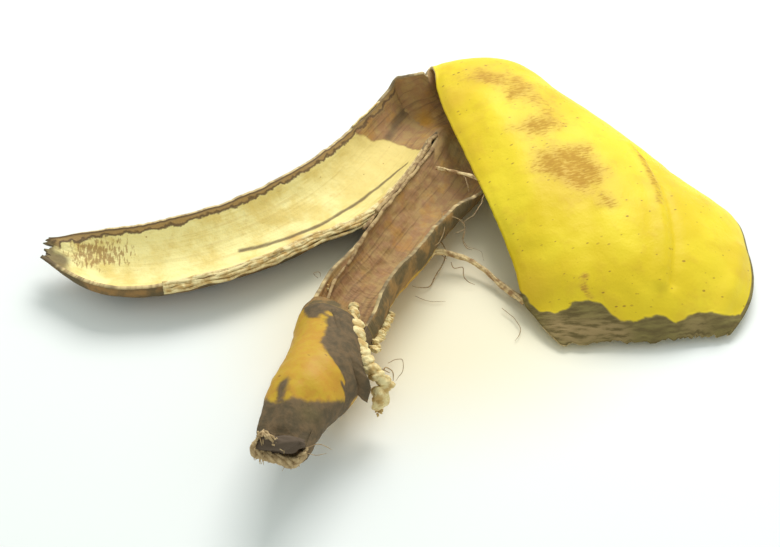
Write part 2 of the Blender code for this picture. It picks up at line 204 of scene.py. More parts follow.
# Pulp left along the mouth: x, y, z and the three radii of each lump
PULP_LUMPS = [
    (-10.5, -31.0, 18.0, 1.5, 1.3, 1.7), (-10.4, -34.2, 18.4, 1.9, 1.6, 1.8),
    (-11.2, -36.8, 18.8, 2.2, 1.7, 1.4), (-9.7, -40.1, 19.6, 2.7, 2.5, 2.2),
    (-9.6, -43.6, 20.0, 2.9, 2.6, 2.3), (-9.2, -47.0, 20.0, 2.7, 2.4, 2.0),
    (-7.5, -50.2, 19.6, 2.1, 2.0, 1.7), (-6.6, -52.3, 19.2, 2.2, 2.0, 1.7),
    (-5.2, -54.4, 18.4, 2.4, 1.9, 1.6), (-3.6, -55.9, 17.4, 2.3, 1.7, 1.5),
    (-1.9, -56.6, 16.0, 2.2, 1.5, 1.4), (-0.6, -57.0, 14.6, 1.9, 1.3, 1.3),
    (-2.8, -58.6, 13.0, 2.4, 2.0, 2.3), (-2.5, -59.7, 11.4, 2.3, 2.0, 2.2),
    (-3.3, -60.3, 9.8, 1.7, 1.5, 1.8),
]
# Flaking pith on the right rim beside the mouth: the line it follows, and how many plates
FLAKE_LINE = [(0.3, -27.9, 12.0), (-0.6, -32.0, 12.6), (-2.3, -36.8, 13.6), (-3.7, -41.4, 14.6),
              (-4.8, -45.5, 15.4)]
FLAKE_COUNT = 24
FLAKE_SEED = 8
# Lips of the stalk's broken end
LOWER_LIP = [(-33.6, -83.6, 25.3), (-34.7, -84.7, 23.8), (-33.5, -85.4, 22.2), (-30.7, -85.9, 21.4),
             (-27.7, -86.2, 20.7), (-24.9, -86.7, 20.2), (-22.6, -85.9, 21.0), (-21.2, -85.2, 23.0)]
UPPER_LIP = [(-34.0, -83.0, 25.9), (-32.8, -82.9, 27.0), (-30.4, -83.6, 27.0), (-28.2, -84.8, 25.9),
             (-26.4, -85.6, 24.8)]
# Dry plug of crumpled skin between the lips: middle and radii
END_PLUG = ((-27.2, -84.0, 24.4), (6.2, 2.2, 2.5))
# Cords of torn fibre: between the two narrow petals, and along the middle petal's left edge
TORN_CORDS = [
    ([(16.2, 59.0, 8.8), (14.0, 54.5, 9.6), (10.4, 44.8, 10.4), (6.2, 36.0, 10.7), (1.0, 26.5, 11.0),
      (-4.2, 17.0, 11.2)], 0.8),
    ([(14.0, 54.0, 9.0), (8.3, 40.0, 9.8), (2.0, 28.4, 10.2), (-4.0, 17.6, 10.4),
      (-8.5, 9.7, 10.6)], 0.7),
    ([(14.9, 51.1, 9.4), (8.7, 37.8, 10.8), (3.2, 27.4, 11.2), (-2.7, 16.5, 11.2), (-7.6, 7.4, 10.8),
      (-13.6, -4.6, 8.2)], 0.75),
    ([(-2.7, 16.5, 11.0), (-7.8, 7.0, 10.6), (-13.0, -2.6, 9.0), (-17.4, -12.4, 8.6),
      (-19.0, -20.0, 9.6)], 0.6),
]
# Pale thread that lifts off the long petal's back edge
PALE_THREAD = [(5.1, 82.1, 15.0), (4.4, 82.1, 12.8), (2.1, 81.7, 10.8), (-1.9, 76.5, 11.8),
               (-5.4, 71.3, 12.5), (-9.8, 64.6, 12.3), (-13.1, 59.7, 12.2)]
PALE_THREAD_RADIUS = 0.3
# Cords of the pith edge, and how loose fibres thin from root to tip
PITH_CORDS = 5
CURL_TAPER = (0.5, 1.0, 1.1, 1.0, 0.8, 0.4)
FRAY_TAPER = (1.0, 1.1, 1.0, 0.9, 0.7, 0.4)
PITH_TAPER = (1.0, 1.1, 1.0, 0.9, 0.7, 0.35)
# Amounts painted on each point of the skin
PAINTED = ("rim", "stain", "inner", "dry", "warm", "tint", "pale", "skirt", "freckle", "back", "narrow")
# Shares of the petal's length where the dry core starts and how long it is, and how full it fills the neck
CORE_FROM = 0.84
CORE_LENGTH = 0.125
CORE_FILL = 0.86
# Steps in which the skin thins, and how far from a torn edge the relief fades, in millimetres
THICKNESS_STEPS = 50
RELIEF_EASE = 3.0
# Where the folded petal's ragged right end starts
RIGHT_END_FROM = 96.0
# Width of the browned border of the long and the middle petal
LEFT_BORDER = 14.0
MIDDLE_BORDER = 7.5

# Relief lines, seen from above, with their half width and height.
FOLD_RIDGES = [
    ([(79.0, 42.0), (81.6, 34.0), (82.8, 26.4), (83.7, 18.3), (84.2, 5.8), (83.9, -4.0),
      (81.7, -16.8)], 1.8, 1.1),
    ([(82.0, 40.0), (84.6, 33.0), (86.0, 26.0), (87.0, 18.0), (87.6, 5.8), (87.2, -5.0),
      (85.0, -17.0)], 1.9, -0.9),
    ([(111.0, 4.0), (106.0, -10.0), (99.0, -24.0)], 2.4, 0.9),
    ([(33.0, 62.0), (40.0, 40.0), (44.0, 20.0), (46.0, 2.0)], 5.0, 0.9),
    ([(56.0, 60.0), (60.0, 36.0), (62.0, 12.0), (60.0, -8.0)], 5.0, -0.8),
]
INNER_CREASES = [
    ([(21.0, 66.0), (15.0, 52.0), (8.0, 38.0)], 1.6, 0.7),
    ([(-2.0, 33.0), (-16.0, 16.5), (-30.0, 6.0), (-48.0, -3.0)], 1.3, -0.7),
    ([(-20.0, 30.0), (-45.0, 20.0), (-75.0, 5.0), (-100.0, -3.0)], 3.0, 0.5),
    ([(4.0, 20.0), (-8.0, -2.0), (-14.0, -24.0)], 2.2, 0.7),
]

# Loose fibres: the points of each one and its radius.
FINE_FIBRES = [
    ([(24.2, 32.4, 14.0), (25.5, 29.0, 13.0), (26.1, 26.3, 11.0)], 0.26),
    ([(16.7, 10.1, 16.0), (16.8, 3.1, 15.5), (15.1, -1.3, 15.0), (13.2, -3.0, 14.6),
      (12.6, -5.0, 13.5)], 0.15),
    ([(17.0, 9.6, 16.0), (20.5, 9.7, 15.5), (23.1, 8.4, 14.5), (23.7, 7.7, 13.5),
      (20.4, 3.9, 14.0)], 0.15),
    ([(30.5, 21.4, 15.0), (28.9, 15.6, 15.5), (26.8, 11.8, 15.0), (24.1, 9.6, 14.5),
      (22.9, 8.3, 14.0)], 0.14),
    ([(23.9, 8.2, 11.0), (23.3, 6.2, 9.0), (24.3, 4.6, 7.0), (26.3, 4.7, 6.0)], 0.14),
    ([(15.9, 11.6, 6.0), (17.2, 14.6, 8.0), (17.3, 18.7, 10.0), (20.9, 18.2, 10.0), (24.1, 16.5, 8.0),
      (24.0, 12.4, 7.0), (23.5, 7.8, 7.0), (25.6, 4.6, 7.0), (29.1, 3.8, 6.0), (29.9, 0.7, 5.0)], 0.13),
    ([(15.3, 11.2, 5.0), (16.8, 8.4, 5.0), (18.1, 6.2, 4.0), (17.4, 3.6, 3.0), (14.3, -3.0, 1.5),
      (13.3, -5.6, 1.0), (10.1, -7.3, 1.0), (7.0, -6.9, 1.5)], 0.20),
    ([(14.3, 8.1, 3.0), (18.3, 2.6, 4.0)], 0.18),
    ([(19.4, 0.3, 5.0), (20.0, -1.0, 4.0), (23.2, -1.4, 4.0), (23.5, -4.0, 2.5),
      (26.9, -6.0, 1.0)], 0.16),
    ([(7.9, -10.4, 0.6), (12.0, -12.5, 0.5), (17.5, -12.6, 0.5)], 0.10),
    ([(34.8, -15.9, 1.0), (38.5, -20.5, 0.9), (39.7, -25.2, 0.6), (37.9, -29.0, 0.5)], 0.12),
    ([(-2.3, -46.8, 9.0), (0.0, -47.5, 8.0)], 0.18),
    ([(-0.6, -43.8, 8.0), (3.5, -41.4, 7.0), (3.5, -45.0, 5.0), (1.7, -46.4, 3.0)], 0.14),
    ([(-21.6, -85.0, 24.0), (-19.0, -83.6, 23.6), (-16.6, -83.4, 22.6), (-14.8, -84.0, 21.8)], 0.13),
    ([(-21.9, -85.6, 23.0), (-19.0, -86.0, 22.4), (-16.2, -85.2, 22.0)], 0.10),
    ([(-2.4, -52.6, 13.8), (-1.0, -51.0, 14.8), (0.6, -51.6, 14.0), (0.9, -53.6, 12.0)], 0.22),
    ([(-22.2, -11.6, 10.0), (-23.3, -11.8, 12.0), (-21.7, -11.9, 13.0), (-21.2, -12.1, 11.0)], 0.12),
]
STRAND_PATH = [
    (11.7, -1.2, 7.2), (14.6, 3.2, 6.5), (20.6, 3.0, 5.2), (25.6, 1.6, 4.2), (30.8, -2.6, 3.2),
    (35.2, -7.6, 2.6), (41.5, -15.2, 3.4),
]
STUB_PATH = [(16.0, 42.2, 8.0), (19.1, 36.7, 12.0), (24.2, 32.4, 14.0), (28.0, 29.8, 15.0),
             (30.9, 27.8, 15.0)]
FLUFF_PLACES = [
    (-18.8, -26.8, 12.0, 2.0), (-17.4, -29.0, 13.5, 1.4), (-9.4, -36.4, 17.0, 1.4),
    (-6.4, -52.0, 15.6, 1.4), (-3.0, -60.6, 8.0, 1.6), (-19.6, -14.4, 9.0, 1.3),
]


# Sheet shape

def smooth(x):
    """Ease from 0 to 1."""
    x = np.clip(x, 0.0, 1.0)
    return x * x * (3.0 - 2.0 * x)


def second_derivatives(values, gaps):
    """Second derivatives of the natural cubic spline through the stations."""
    count = len(values)
    matrix = np.zeros((count, count))
    right = np.zeros(values.shape)
    matrix[0, 0] = matrix[-1, -1] = 1.0
    for i in range(1, count - 1):
        matrix[i, i - 1] = gaps[i - 1]
        matrix[i, i] = 2.0 * (gaps[i - 1] + gaps[i])
        matrix[i, i + 1] = gaps[i]
        right[i] = 6.0 * ((values[i + 1] - values[i]) / gaps[i] - (values[i] - values[i - 1]) / gaps[i - 1])
    return np.linalg.solve(matrix, right)


def steady_slopes(values, gaps):
    """Slopes of a curve through the stations that never overshoots them."""
    delta = np.diff(values) / gaps
    slopes = np.zeros(len(values))
    slopes[0] = delta[0]
    slopes[-1] = delta[-1]
    for i in range(1, len(values) - 1):
        if delta[i - 1] * delta[i] > 0.0:
            before = 2.0 * gaps[i] + gaps[i - 1]
            after = gaps[i] + 2.0 * gaps[i - 1]
            slopes[i] = (before + after) / (before / delta[i - 1] + after / delta[i])
    return slopes


def spline(stations):
    """Function of 0..1 along the stations, and the length of the line in millimetres."""
    columns = max(len(row) for row in stations)
    values = np.array([row + (0.0,) * (columns - len(row)) for row in stations])
    steps = np.linalg.norm(np.diff(values[:, :3], axis=0), axis=1)
    length = steps.sum()
    knots = np.concatenate([[0.0], np.cumsum(steps)]) / length
    gaps = np.diff(knots)
    bends = second_derivatives(values, gaps)
    slopes = [steady_slopes(values[:, k], gaps) for k in range(values.shape[1])]

    def at(u):
        u = np.atleast_1d(np.asarray(u, dtype=float))
        i = np.clip(np.searchsorted(knots, u, side="right") - 1, 0, len(knots) - 2)
        gap = gaps[i]
        a = (knots[i + 1] - u) / gap
        b = 1.0 - a
        cubic = ((a ** 3 - a)[:, None] * bends[i] + (b ** 3 - b)[:, None] * bends[i + 1]) / 6.0
        out = a[:, None] * values[i] + b[:, None] * values[i + 1] + cubic * (gap ** 2)[:, None]
        for k in range(4, values.shape[1]):
            y, m = values[:, k], slopes[k]
            out[:, k] = ((2 * b ** 3 - 3 * b ** 2 + 1) * y[i] + (b ** 3 - 2 * b ** 2 + b) * gap * m[i]
                         + (-2 * b ** 3 + 3 * b ** 2) * y[i + 1] + (b ** 3 - b ** 2) * gap * m[i + 1])
        return out

    return at, length


def frames(at, u):
    """Stations at u with the unit headings across the skin and towards its inside."""
    small = 1e-4
    rows = at(u)
    ahead = at(np.minimum(u + small, 1.0))[:, :3] - at(np.maximum(u - small, 0.0))[:, :3]
    ahead /= np.linalg.norm(ahead, axis=1)[:, None]
    angle = np.radians(rows[:, 3])
    dip = np.radians(rows[:, 9]) if rows.shape[1] > 9 else 0.0 * angle
    across = np.stack([np.cos(angle) * np.cos(dip), np.sin(angle) * np.cos(dip), -np.sin(dip)], axis=1)
    inward = np.cross(across, ahead)
    inward /= np.linalg.norm(inward, axis=1)[:, None]
    return rows, across, inward


def sweep(stations, u, v):
    """Grid of points of one petal: u runs along it, v (rows by columns, -1 to 1) across it."""
    at, length = spline(stations)
    rows, across, inward = frames(at, u)
    left = v < 0.0
    width = np.where(left, rows[:, 4:5], rows[:, 6:7])
    turn = np.radians(np.where(left, rows[:, 5:6], rows[:, 7:8]))
    parts = (np.arange(QUADRATURE) + 0.5) / QUADRATURE
    reach = np.abs(v)[..., None] * parts
    angle = turn[..., None] * reach ** rows[:, 8][:, None, None]
    aside = width * v * np.cos(angle).mean(-1)
    lift = width * np.abs(v) * np.sin(angle).mean(-1)
    points = rows[:, None, :3] + aside[..., None] * across[:, None] + lift[..., None] * inward[:, None]
    return points, width * v


def pull_to_crotch(grid, length, side):
    """Bring the start of a petal's edge onto the crotch point, then lay the edge beside the tear line."""
    along = np.linspace(0.0, 1.0, grid.shape[0]) * length
    v = np.linspace(-1.0, 1.0, grid.shape[1])
    edge = -1 if side > 0 else 0
    across = (((1.0 + side * v) / 2.0) ** 2)[None, :, None]
    ease = (np.clip(1.0 - along / CROTCH_REACH, 0.0, 1.0) ** 2)[:, None, None]
    grid = grid + (np.array(CROTCH) - grid[0, edge]) * ease * across
    beside = np.array([beside_tear(point, side, s) for point, s in zip(grid[:, edge], along)])
    ease = (1.0 - smooth((along - TEAR_REACH) / TEAR_EASE))[:, None, None]
    return grid + (beside - grid[:, edge])[:, None] * ease * across


def beside_tear(point, side, along):
    """Place next to the tear line for a point of a torn edge, on its own petal's side of it."""
    line = np.array(TEAR_LINE)
    best = None
    for a, b in zip(line[:-1], line[1:]):
        step = b - a
        share = np.clip((point - a) @ step / (step @ step), 0.0, 1.0)
        near = a + share * step
        if best is None or np.linalg.norm(point - near) < np.linalg.norm(point - best[0]):
            best = (near, step)
    near, step = best
    out = np.array([-step[1], step[0], 0.0]) / np.hypot(step[0], step[1])
    return near + out * side * TEAR_GAP * smooth(along / 8.0)


def close_seam(grid):
    """Where the two edges of the neck nearly meet, bring them onto one seam line."""
    gap = np.linalg.norm(grid[:, 0] - grid[:, -1], axis=1)
    shut = gap < SEAM_CATCH
    middle = (grid[:, 0] + grid[:, -1]) / 2.0
    grid[shut, 0] = middle[shut]
    grid[shut, -1] = middle[shut]
    return grid


def start_heading(grid, length):
    """Heading out of the start of a petal, per millimetre."""
    return (grid[0] - grid[1]) * (grid.shape[0] - 1) / length


def base_patch(left, middle, folded, lengths, rows):
    """Skin that joins the two narrow petals to the folded one, smooth on both sides."""
    first = np.concatenate([left[0, ::-1], middle[0, ::-1][1:]])
    out = np.concatenate([start_heading(left, lengths[0])[::-1], start_heading(middle, lengths[1])[::-1][1:]])
    seam = left.shape[1] - 1
    out[seam] = (out[seam - 1] + out[seam + 1]) / 2.0
    last = folded[0]
    on = (folded[1] - folded[0]) * (folded.shape[0] - 1) / lengths[2]
    span = np.linalg.norm(last - first, axis=1)[:, None] * BASE_FULLNESS
    w = np.linspace(0.0, 1.0, rows)[:, None, None]
    grid = ((2 * w ** 3 - 3 * w ** 2 + 1) * first + (w ** 3 - 2 * w ** 2 + w) * out * span
            + (-2 * w ** 3 + 3 * w ** 2) * last + (w ** 3 - w ** 2) * on * span)
    back = smooth(1.0 - np.linspace(0.0, 4.0, grid.shape[1]))[None, :, None]
    grid[..., 2:] += BASE_EDGE_RISE * (4.0 * w * (1.0 - w)) ** 2 * back
    return grid


def wander(x, seed, size):
    """Smooth wobble between -1 and 1 along a line of numbers."""
    return np.array([noise.noise(Vector((value / size, seed * 7.3, seed * 1.7))) for value in x])


def ragged_columns(u, length, seed, depth, quiet_start, quiet_end):
    """Places across the skin for each row, with the two torn edges wandering in and out."""
    v = np.linspace(-1.0, 1.0, PETAL_COLUMNS + 1)
    along = u * length
    ease = smooth((along - quiet_start) / 6.0) * smooth((quiet_end - along) / 6.0)
    left = tear_depth(along, seed) * depth * ease
    right = tear_depth(along, seed + 5.0) * depth * ease
    cut = np.where(v[None, :] < 0.0, left[:, None], right[:, None])
    return v[None, :] * (1.0 - cut)


def tear_depth(along, seed):
    """How deep the tear bites at each place, 0 to about 1."""
    coarse = wander(along, seed, 9.0)
    fine = wander(along, seed + 2.0, 2.2)
    return np.clip(0.5 + 0.5 * coarse + 0.35 * fine, 0.0, 1.4)


def wear_end(grid, depth, seed, rows=10):
    """Make the far end of a petal ragged by drawing single columns back."""
    count = grid.shape[1]
    columns = np.arange(count)
    bite = np.clip(0.5 + 0.6 * wander(columns, seed, 5.0) + 0.5 * wander(columns, seed + 1, 1.6), 0, 1)
    anchor = grid[-rows - 1].copy()
    for r in range(rows):
        share = (bite * depth * (rows - r) / rows)[:, None]
        grid[-1 - r] = grid[-1 - r] * (1.0 - share) + anchor * share
    return grid


def petal_grids():
    """The four fine grids of the skin in millimetres, each with its along, side and petal values."""
    lengths = [spline(table)[1] for table in (LEFT_PETAL, MIDDLE_PETAL, FOLDED_PETAL)]
    made = []
    plan = [
        (LEFT, LEFT_PETAL, LEFT_ROWS, 0.045, 8.0, 500.0),
        (MIDDLE, MIDDLE_PETAL, MIDDLE_ROWS, 0.05, 8.0, NECK_SHUT),
        (FOLDED, FOLDED_PETAL, FOLDED_ROWS, 0.012, 30.0, 500.0),
    ]
    for petal, table, rows, depth, quiet_start, quiet_end in plan:
        u = np.linspace(0.0, 1.0, rows)
        v = ragged_columns(u, lengths[petal], 3.0 * petal + 1.0, depth, quiet_start, quiet_end)
        if petal == FOLDED:
            v = np.stack([np.interp(np.linspace(0, 1, 2 * PETAL_COLUMNS + 1),
                                    np.linspace(0, 1, PETAL_COLUMNS + 1), row) for row in v])
        points, side = sweep(table, u, v)
        made.append([points, side, u * lengths[petal]])
    left, middle, folded = [item[0] for item in made]
    left = wear_end(pull_to_crotch(left, lengths[0], -1.0), 0.5, 11.0)
    middle = close_seam(pull_to_crotch(middle, lengths[1], 1.0))
    middle = wear_end(flatten_stalk(middle, made[1][2], lengths[1]), 0.25, 21.0, 12)
    folded = wear_end(folded, 0.22, 31.0)
    base = base_patch(left, middle, folded, lengths, BASE_ROWS)[:, ::-1]
    grids = []
    for petal, points in zip((LEFT, MIDDLE, FOLDED), (left, middle, folded)):
        side, along = made[petal][1], made[petal][2]
        grids.append((points, np.repeat(along[:, None], points.shape[1], axis=1), side, petal))
    for petal, part in ((MIDDLE, base[:, :PETAL_COLUMNS + 1]), (LEFT, base[:, PETAL_COLUMNS:])):
        run = np.repeat(np.linspace(0.0, -BASE_LENGTH, BASE_ROWS)[:, None], part.shape[1], axis=1)
        grids.append((part, run, np.repeat(made[petal][1][:1], BASE_ROWS, axis=0), BASE))
    return grids


def flatten_stalk(grid, along, length):
    """Press the dry end of the stalk flatter, as it is where it was cut and has dried."""
    centre = grid.mean(axis=1, keepdims=True)
    press = 1.0 - STALK_FLATNESS * smooth((along - (length - STALK_FLAT_LENGTH)) / STALK_FLAT_LENGTH)
    taper = 1.0 - (1.0 - press) * STALK_TAPER / STALK_FLATNESS
    out = centre + (grid - centre) * taper[:, None, None]
    drop = STALK_DROP * (1.0 - press) / STALK_FLATNESS
    out[..., 2] = centre[..., 2] + (grid[..., 2] - centre[..., 2]) * press[:, None] - drop[:, None]
    return out


def add_grid(bm, grid, layers):
    """One quad sheet through a grid of points, which keeps its along, side and petal values."""
    points, along, side, petal = grid
    rows, columns = points.shape[:2]
    made = bmesh.ops.create_grid(bm, x_segments=columns - 1, y_segments=rows - 1, size=1.0)["verts"]
    for vert in made:
        i = int(round((vert.co.y + 1.0) / 2.0 * (rows - 1)))
        j = int(round((vert.co.x + 1.0) / 2.0 * (columns - 1)))
        vert.co = points[i, j]
        vert[layers[0]] = along[i, j]
        vert[layers[1]] = side[i, j]
        vert[layers[2]] = petal
    corners = [bm.loops.layers.float[name] for name in ("along", "side")]
    for face in {face for vert in made for face in vert.link_faces}:
        for loop in face.loops:
            loop[corners[0]] = loop.vert[layers[0]]
            loop[corners[1]] = loop.vert[layers[1]]


def value_layers(bm):
    """Layers of the sheet's values: kept on its points, and on its corners where petals meet."""
    for name in ("along", "side"):
        bm.loops.layers.float.new(name)
    return [bm.verts.layers.float.new(name) for name in ("along_at", "side_at", "petal")]


def skin_bmesh():
    """The welded sheet in layout millimetres, with its outside facing out."""
    bm = bmesh.new()
    layers = value_layers(bm)
    for grid in petal_grids():
        add_grid(bm, grid, layers)
    bmesh.ops.remove_doubles(bm, verts=bm.verts[:], dist=WELD)
    bmesh.ops.recalc_face_normals(bm, faces=bm.faces[:])
    lowest = min(bm.faces, key=lambda face: (face.calc_center_median() - Vector((-40.0, 11.0, 1.0))).length)
    if lowest.normal.z > 0.0:
        bmesh.ops.reverse_faces(bm, faces=bm.faces[:])
    return bm


def rim_distances(bm):
    """Distance of every point from the torn edge of its own petal, up to 25 mm."""
    petal = bm.verts.layers.float["petal"]
    trees = {}
    for number in (LEFT, MIDDLE, FOLDED, BASE):
        near = [v for v in bm.verts
                if v.is_boundary and (number == BASE or round(v[petal]) in (number, BASE))]
        tree = kdtree.KDTree(len(near))
        for k, vert in enumerate(near):
            tree.insert(vert.co, k)
        tree.balance()
        trees[number] = tree
    return np.array([min(trees[int(round(v[petal]))].find(v.co)[2], 25.0) for v in bm.verts])


def soft_spots(points, spots):
    """Sum of soft round spots: each (x, y, z, reach, strength)."""
    total = np.zeros(len(points))
    for x, y, z, reach, strength in spots:
        gap = np.linalg.norm(points - np.array([x, y, z]), axis=1)
        total += strength * np.exp(-(gap / reach) ** 2)
    return total


def line_distance(points, line):
    """Distance of every point from a line through the given places, in two or three dimensions."""
    line = np.array(line, float)
    best = np.full(len(points), 1e9)
    for a, b in zip(line[:-1], line[1:]):
        step = b - a
        share = np.clip(((points - a) @ step) / (step @ step), 0.0, 1.0)
        best = np.minimum(best, np.linalg.norm(points - (a + share[:, None] * step), axis=1))
    return best


def painted_lines(points, lines):
    """Strongest of several soft painted lines, each (places, half width, strength)."""
    total = np.zeros(len(points))
    for places, width, strength in lines:
        total = np.maximum(total, strength * np.exp(-(line_distance(points, places) / width) ** 2))
    return total


def beyond(points, line, soft):
    """1 on the far side of a line seen from above that runs along x, 0 on the near side, soft between."""
    line = np.array(line)
    edge = np.interp(points[:, 0], line[:, 0], line[:, 1])
    return smooth((points[:, 1] - edge) / soft + 0.5)


# Shader building

def fill_inputs(tree, node, sockets):
    """Link or set each named or numbered input of a node."""
    for key, value in sockets.items():
        if isinstance(value, bpy.types.NodeSocket):
            tree.links.new(value, node.inputs[key])
        else:
            node.inputs[key].default_value = value


def add_node(tree, kind, sockets=None, **settings):
    """New node; sockets maps an input's name or number to a value or to an output to link."""
    node = tree.nodes.new(kind)
    for name, value in settings.items():
        setattr(node, name, value)
    fill_inputs(tree, node, sockets or {})
    return node


def math_node(tree, operation, a, b=0.0, c=0.0):
    """Result of one arithmetic step."""
    return add_node(tree, "ShaderNodeMath", {0: a, 1: b, 2: c}, operation=operation).outputs[0]


def times(tree, a, b):
    """Product of two amounts."""
    return math_node(tree, "MULTIPLY", a, b)


def most_of(tree, a, b):
    """Larger of two amounts."""
    return math_node(tree, "MAXIMUM", a, b)


def blend_colour(tree, share, first, second):
    """Colour between two colours."""
    node = add_node(tree, "ShaderNodeMix", data_type="RGBA", clamp_factor=True)
    fill_inputs(tree, node, {0: share, 6: first, 7: second})
    return node.outputs[2]


def ease_range(tree, value, low, high, start=0.0, end=1.0):
    """Value eased from one range to another."""
    sockets = {"Value": value, "From Min": low, "From Max": high, "To Min": start, "To Max": end}
    node = add_node(tree, "ShaderNodeMapRange", sockets, interpolation_type="SMOOTHSTEP")
    return node.outputs["Result"]


def new_group(name, inputs, outputs):
    """Empty shader node group with number inputs and outputs, and its two end nodes."""
    tree = bpy.data.node_groups.new(name, "ShaderNodeTree")
    for label, value in inputs:
        socket = tree.interface.new_socket(label, in_out="INPUT", socket_type="NodeSocketFloat")
        socket.default_value = value
    for label in outputs:
        tree.interface.new_socket(label, in_out="OUTPUT", socket_type="NodeSocketFloat")
    source = tree.nodes.new("NodeGroupInput")
    sink = tree.nodes.new("NodeGroupOutput")
    return tree, source, sink


def skin_coordinates(tree, along, side, length, width, seed):
    """Point on the skin in units of a grain that is length by width millimetres."""
    x = math_node(tree, "DIVIDE", along, length)
    y = math_node(tree, "DIVIDE", side, width)
    return add_node(tree, "ShaderNodeCombineXYZ", {0: x, 1: y, 2: seed}).outputs[0]


def streaks_group():
    """Grain that runs along or across the skin."""
    inputs = [("Along", 0.0), ("Side", 0.0), ("Length", 10.0), ("Width", 1.0), ("Seed", 0.0), ("Detail", 4.0)]
    tree, source, sink = new_group("Skin Streaks", inputs, ["Amount"])
    place = skin_coordinates(tree, source.outputs["Along"], source.outputs["Side"],
                             source.outputs["Length"], source.outputs["Width"], source.outputs["Seed"])
    sockets = {"Vector": place, "Scale": 1.0, "Detail": source.outputs["Detail"], "Roughness": 0.55}
    grain = add_node(tree, "ShaderNodeTexNoise", sockets)
    tree.links.new(grain.outputs["Fac"], sink.inputs["Amount"])
    return tree


def freckles_group():
    """Small round specks of uneven size."""
    inputs = [("Along", 0.0), ("Side", 0.0), ("Spacing", 3.0), ("Size", 0.3), ("Seed", 0.0), ("Stretch", 1.0)]
    tree, source, sink = new_group("Skin Freckles", inputs, ["Amount"])
    width = math_node(tree, "MULTIPLY", source.outputs["Spacing"], source.outputs["Stretch"])
    place = skin_coordinates(tree, source.outputs["Along"], source.outputs["Side"],
                             source.outputs["Spacing"], width, source.outputs["Seed"])
    cells = add_node(tree, "ShaderNodeTexVoronoi", {"Vector": place, "Scale": 1.0, "Randomness": 1.0})
    pick = add_node(tree, "ShaderNodeSeparateColor", {"Color": cells.outputs["Color"]})
    size = math_node(tree, "MULTIPLY", pick.outputs[0], source.outputs["Size"])
    inner = math_node(tree, "MULTIPLY", size, 0.5)
    spot = add_node(tree, "ShaderNodeMapRange", {"Value": cells.outputs["Distance"], "From Min": inner,
                                                 "From Max": size, "To Min": 1.0, "To Max": 0.0},
                    interpolation_type="SMOOTHSTEP")
    kept = math_node(tree, "GREATER_THAN", pick.outputs[1], 0.45)
    tree.links.new(math_node(tree, "MULTIPLY", spot.outputs["Result"], kept), sink.inputs["Amount"])
    return tree


def stain_group():
    """Stain with a broken edge, from a painted amount and a grain."""
    inputs = [("Painted", 0.0), ("Grain", 0.5), ("Breakup", 0.8), ("Threshold", 0.5), ("Softness", 0.15)]
    tree, source, sink = new_group("Broken Stain", inputs, ["Amount"])
    centred = math_node(tree, "SUBTRACT", source.outputs["Grain"], 0.5)
    shaken = math_node(tree, "MULTIPLY_ADD", centred, source.outputs["Breakup"], source.outputs["Painted"])
    low = math_node(tree, "SUBTRACT", source.outputs["Threshold"], source.outputs["Softness"])
    high = math_node(tree, "ADD", source.outputs["Threshold"], source.outputs["Softness"])
    tree.links.new(ease_range(tree, shaken, low, high), sink.inputs["Amount"])
    return tree


GROUPS = {}


def use_group(tree, name, sockets):
    """One use of a shared node group, with its own values."""
    makers = {"streaks": streaks_group, "freckles": freckles_group, "stain": stain_group}
    if name not in GROUPS:
        GROUPS[name] = makers[name]()
    node = tree.nodes.new("ShaderNodeGroup")
    node.node_tree = GROUPS[name]
    fill_inputs(tree, node, sockets)
    return node.outputs[0]


def new_material(name):
    """Empty node material with its Principled shader."""
    material = bpy.data.materials.new(name)
    material.use_nodes = True
    tree = material.node_tree
    shader = next(node for node in tree.nodes if node.type == "BSDF_PRINCIPLED")
    return material, tree, shader


def skin_values(tree, names=("along", "side", "petal", *PAINTED)):
    """The values stored on a shape, by name."""
    return {name: add_node(tree, "ShaderNodeAttribute", attribute_name=name).outputs["Fac"] for name in names}


def bump_into(tree, shader, heights):
    """Bump the surface by several heights, each (height, depth in millimetres)."""
    normal = None
    for height, depth in heights:
        node = add_node(tree, "ShaderNodeBump", {"Height": height, "Distance": depth * MM, "Strength": 1.0})
        if normal is not None:
            tree.links.new(normal, node.inputs["Normal"])
        normal = node.outputs["Normal"]
    tree.links.new(normal, shader.inputs["Normal"])


# Finishes

def cloud(tree, size, detail=4.0):
    """Uneven texture of the given size in millimetres, laid through the object itself."""
    place = add_node(tree, "ShaderNodeTexCoord").outputs["Object"]
    sockets = {"Vector": place, "Scale": 1.0 / (size * MM), "Detail": detail, "Roughness": 0.6}
    return add_node(tree, "ShaderNodeTexNoise", sockets).outputs["Fac"]


class Coat:
    """Colour of one finish, built up in layers that are each laid over the last."""

    def __init__(self, tree, settings, share, first, second):
        """Start between two of the settings' colours."""
        self.tree = tree
        self.settings = settings
        self.colour = blend_colour(tree, share, getattr(settings, first), getattr(settings, second))

    def lay(self, amount, top, most=None):
        """Lay a colour of the settings, or another coat, over this one."""
        if most is not None:
            amount = times(self.tree, amount, most)
        top = top.colour if isinstance(top, Coat) else getattr(self.settings, top)
        self.colour = blend_colour(self.tree, amount, self.colour, top)

    def finish(self, shader, roughness, gloss, heights):
        """Give the shader this colour, a roughness, a gloss and its bumps."""
        fill_inputs(self.tree, shader, {"Base Color": self.colour, "Roughness": roughness})
        if gloss is not None:
            shader.inputs["Specular IOR Level"].default_value = gloss
        bump_into(self.tree, shader, heights)


def grain(tree, at, length, width, seed, detail):
    """One grain of the skin, in millimetres along and across the petals."""
    return use_group(tree, "streaks", {"Along": at["along"], "Side": at["side"], "Length": length,
                                       "Width": width, "Seed": seed, "Detail": detail})


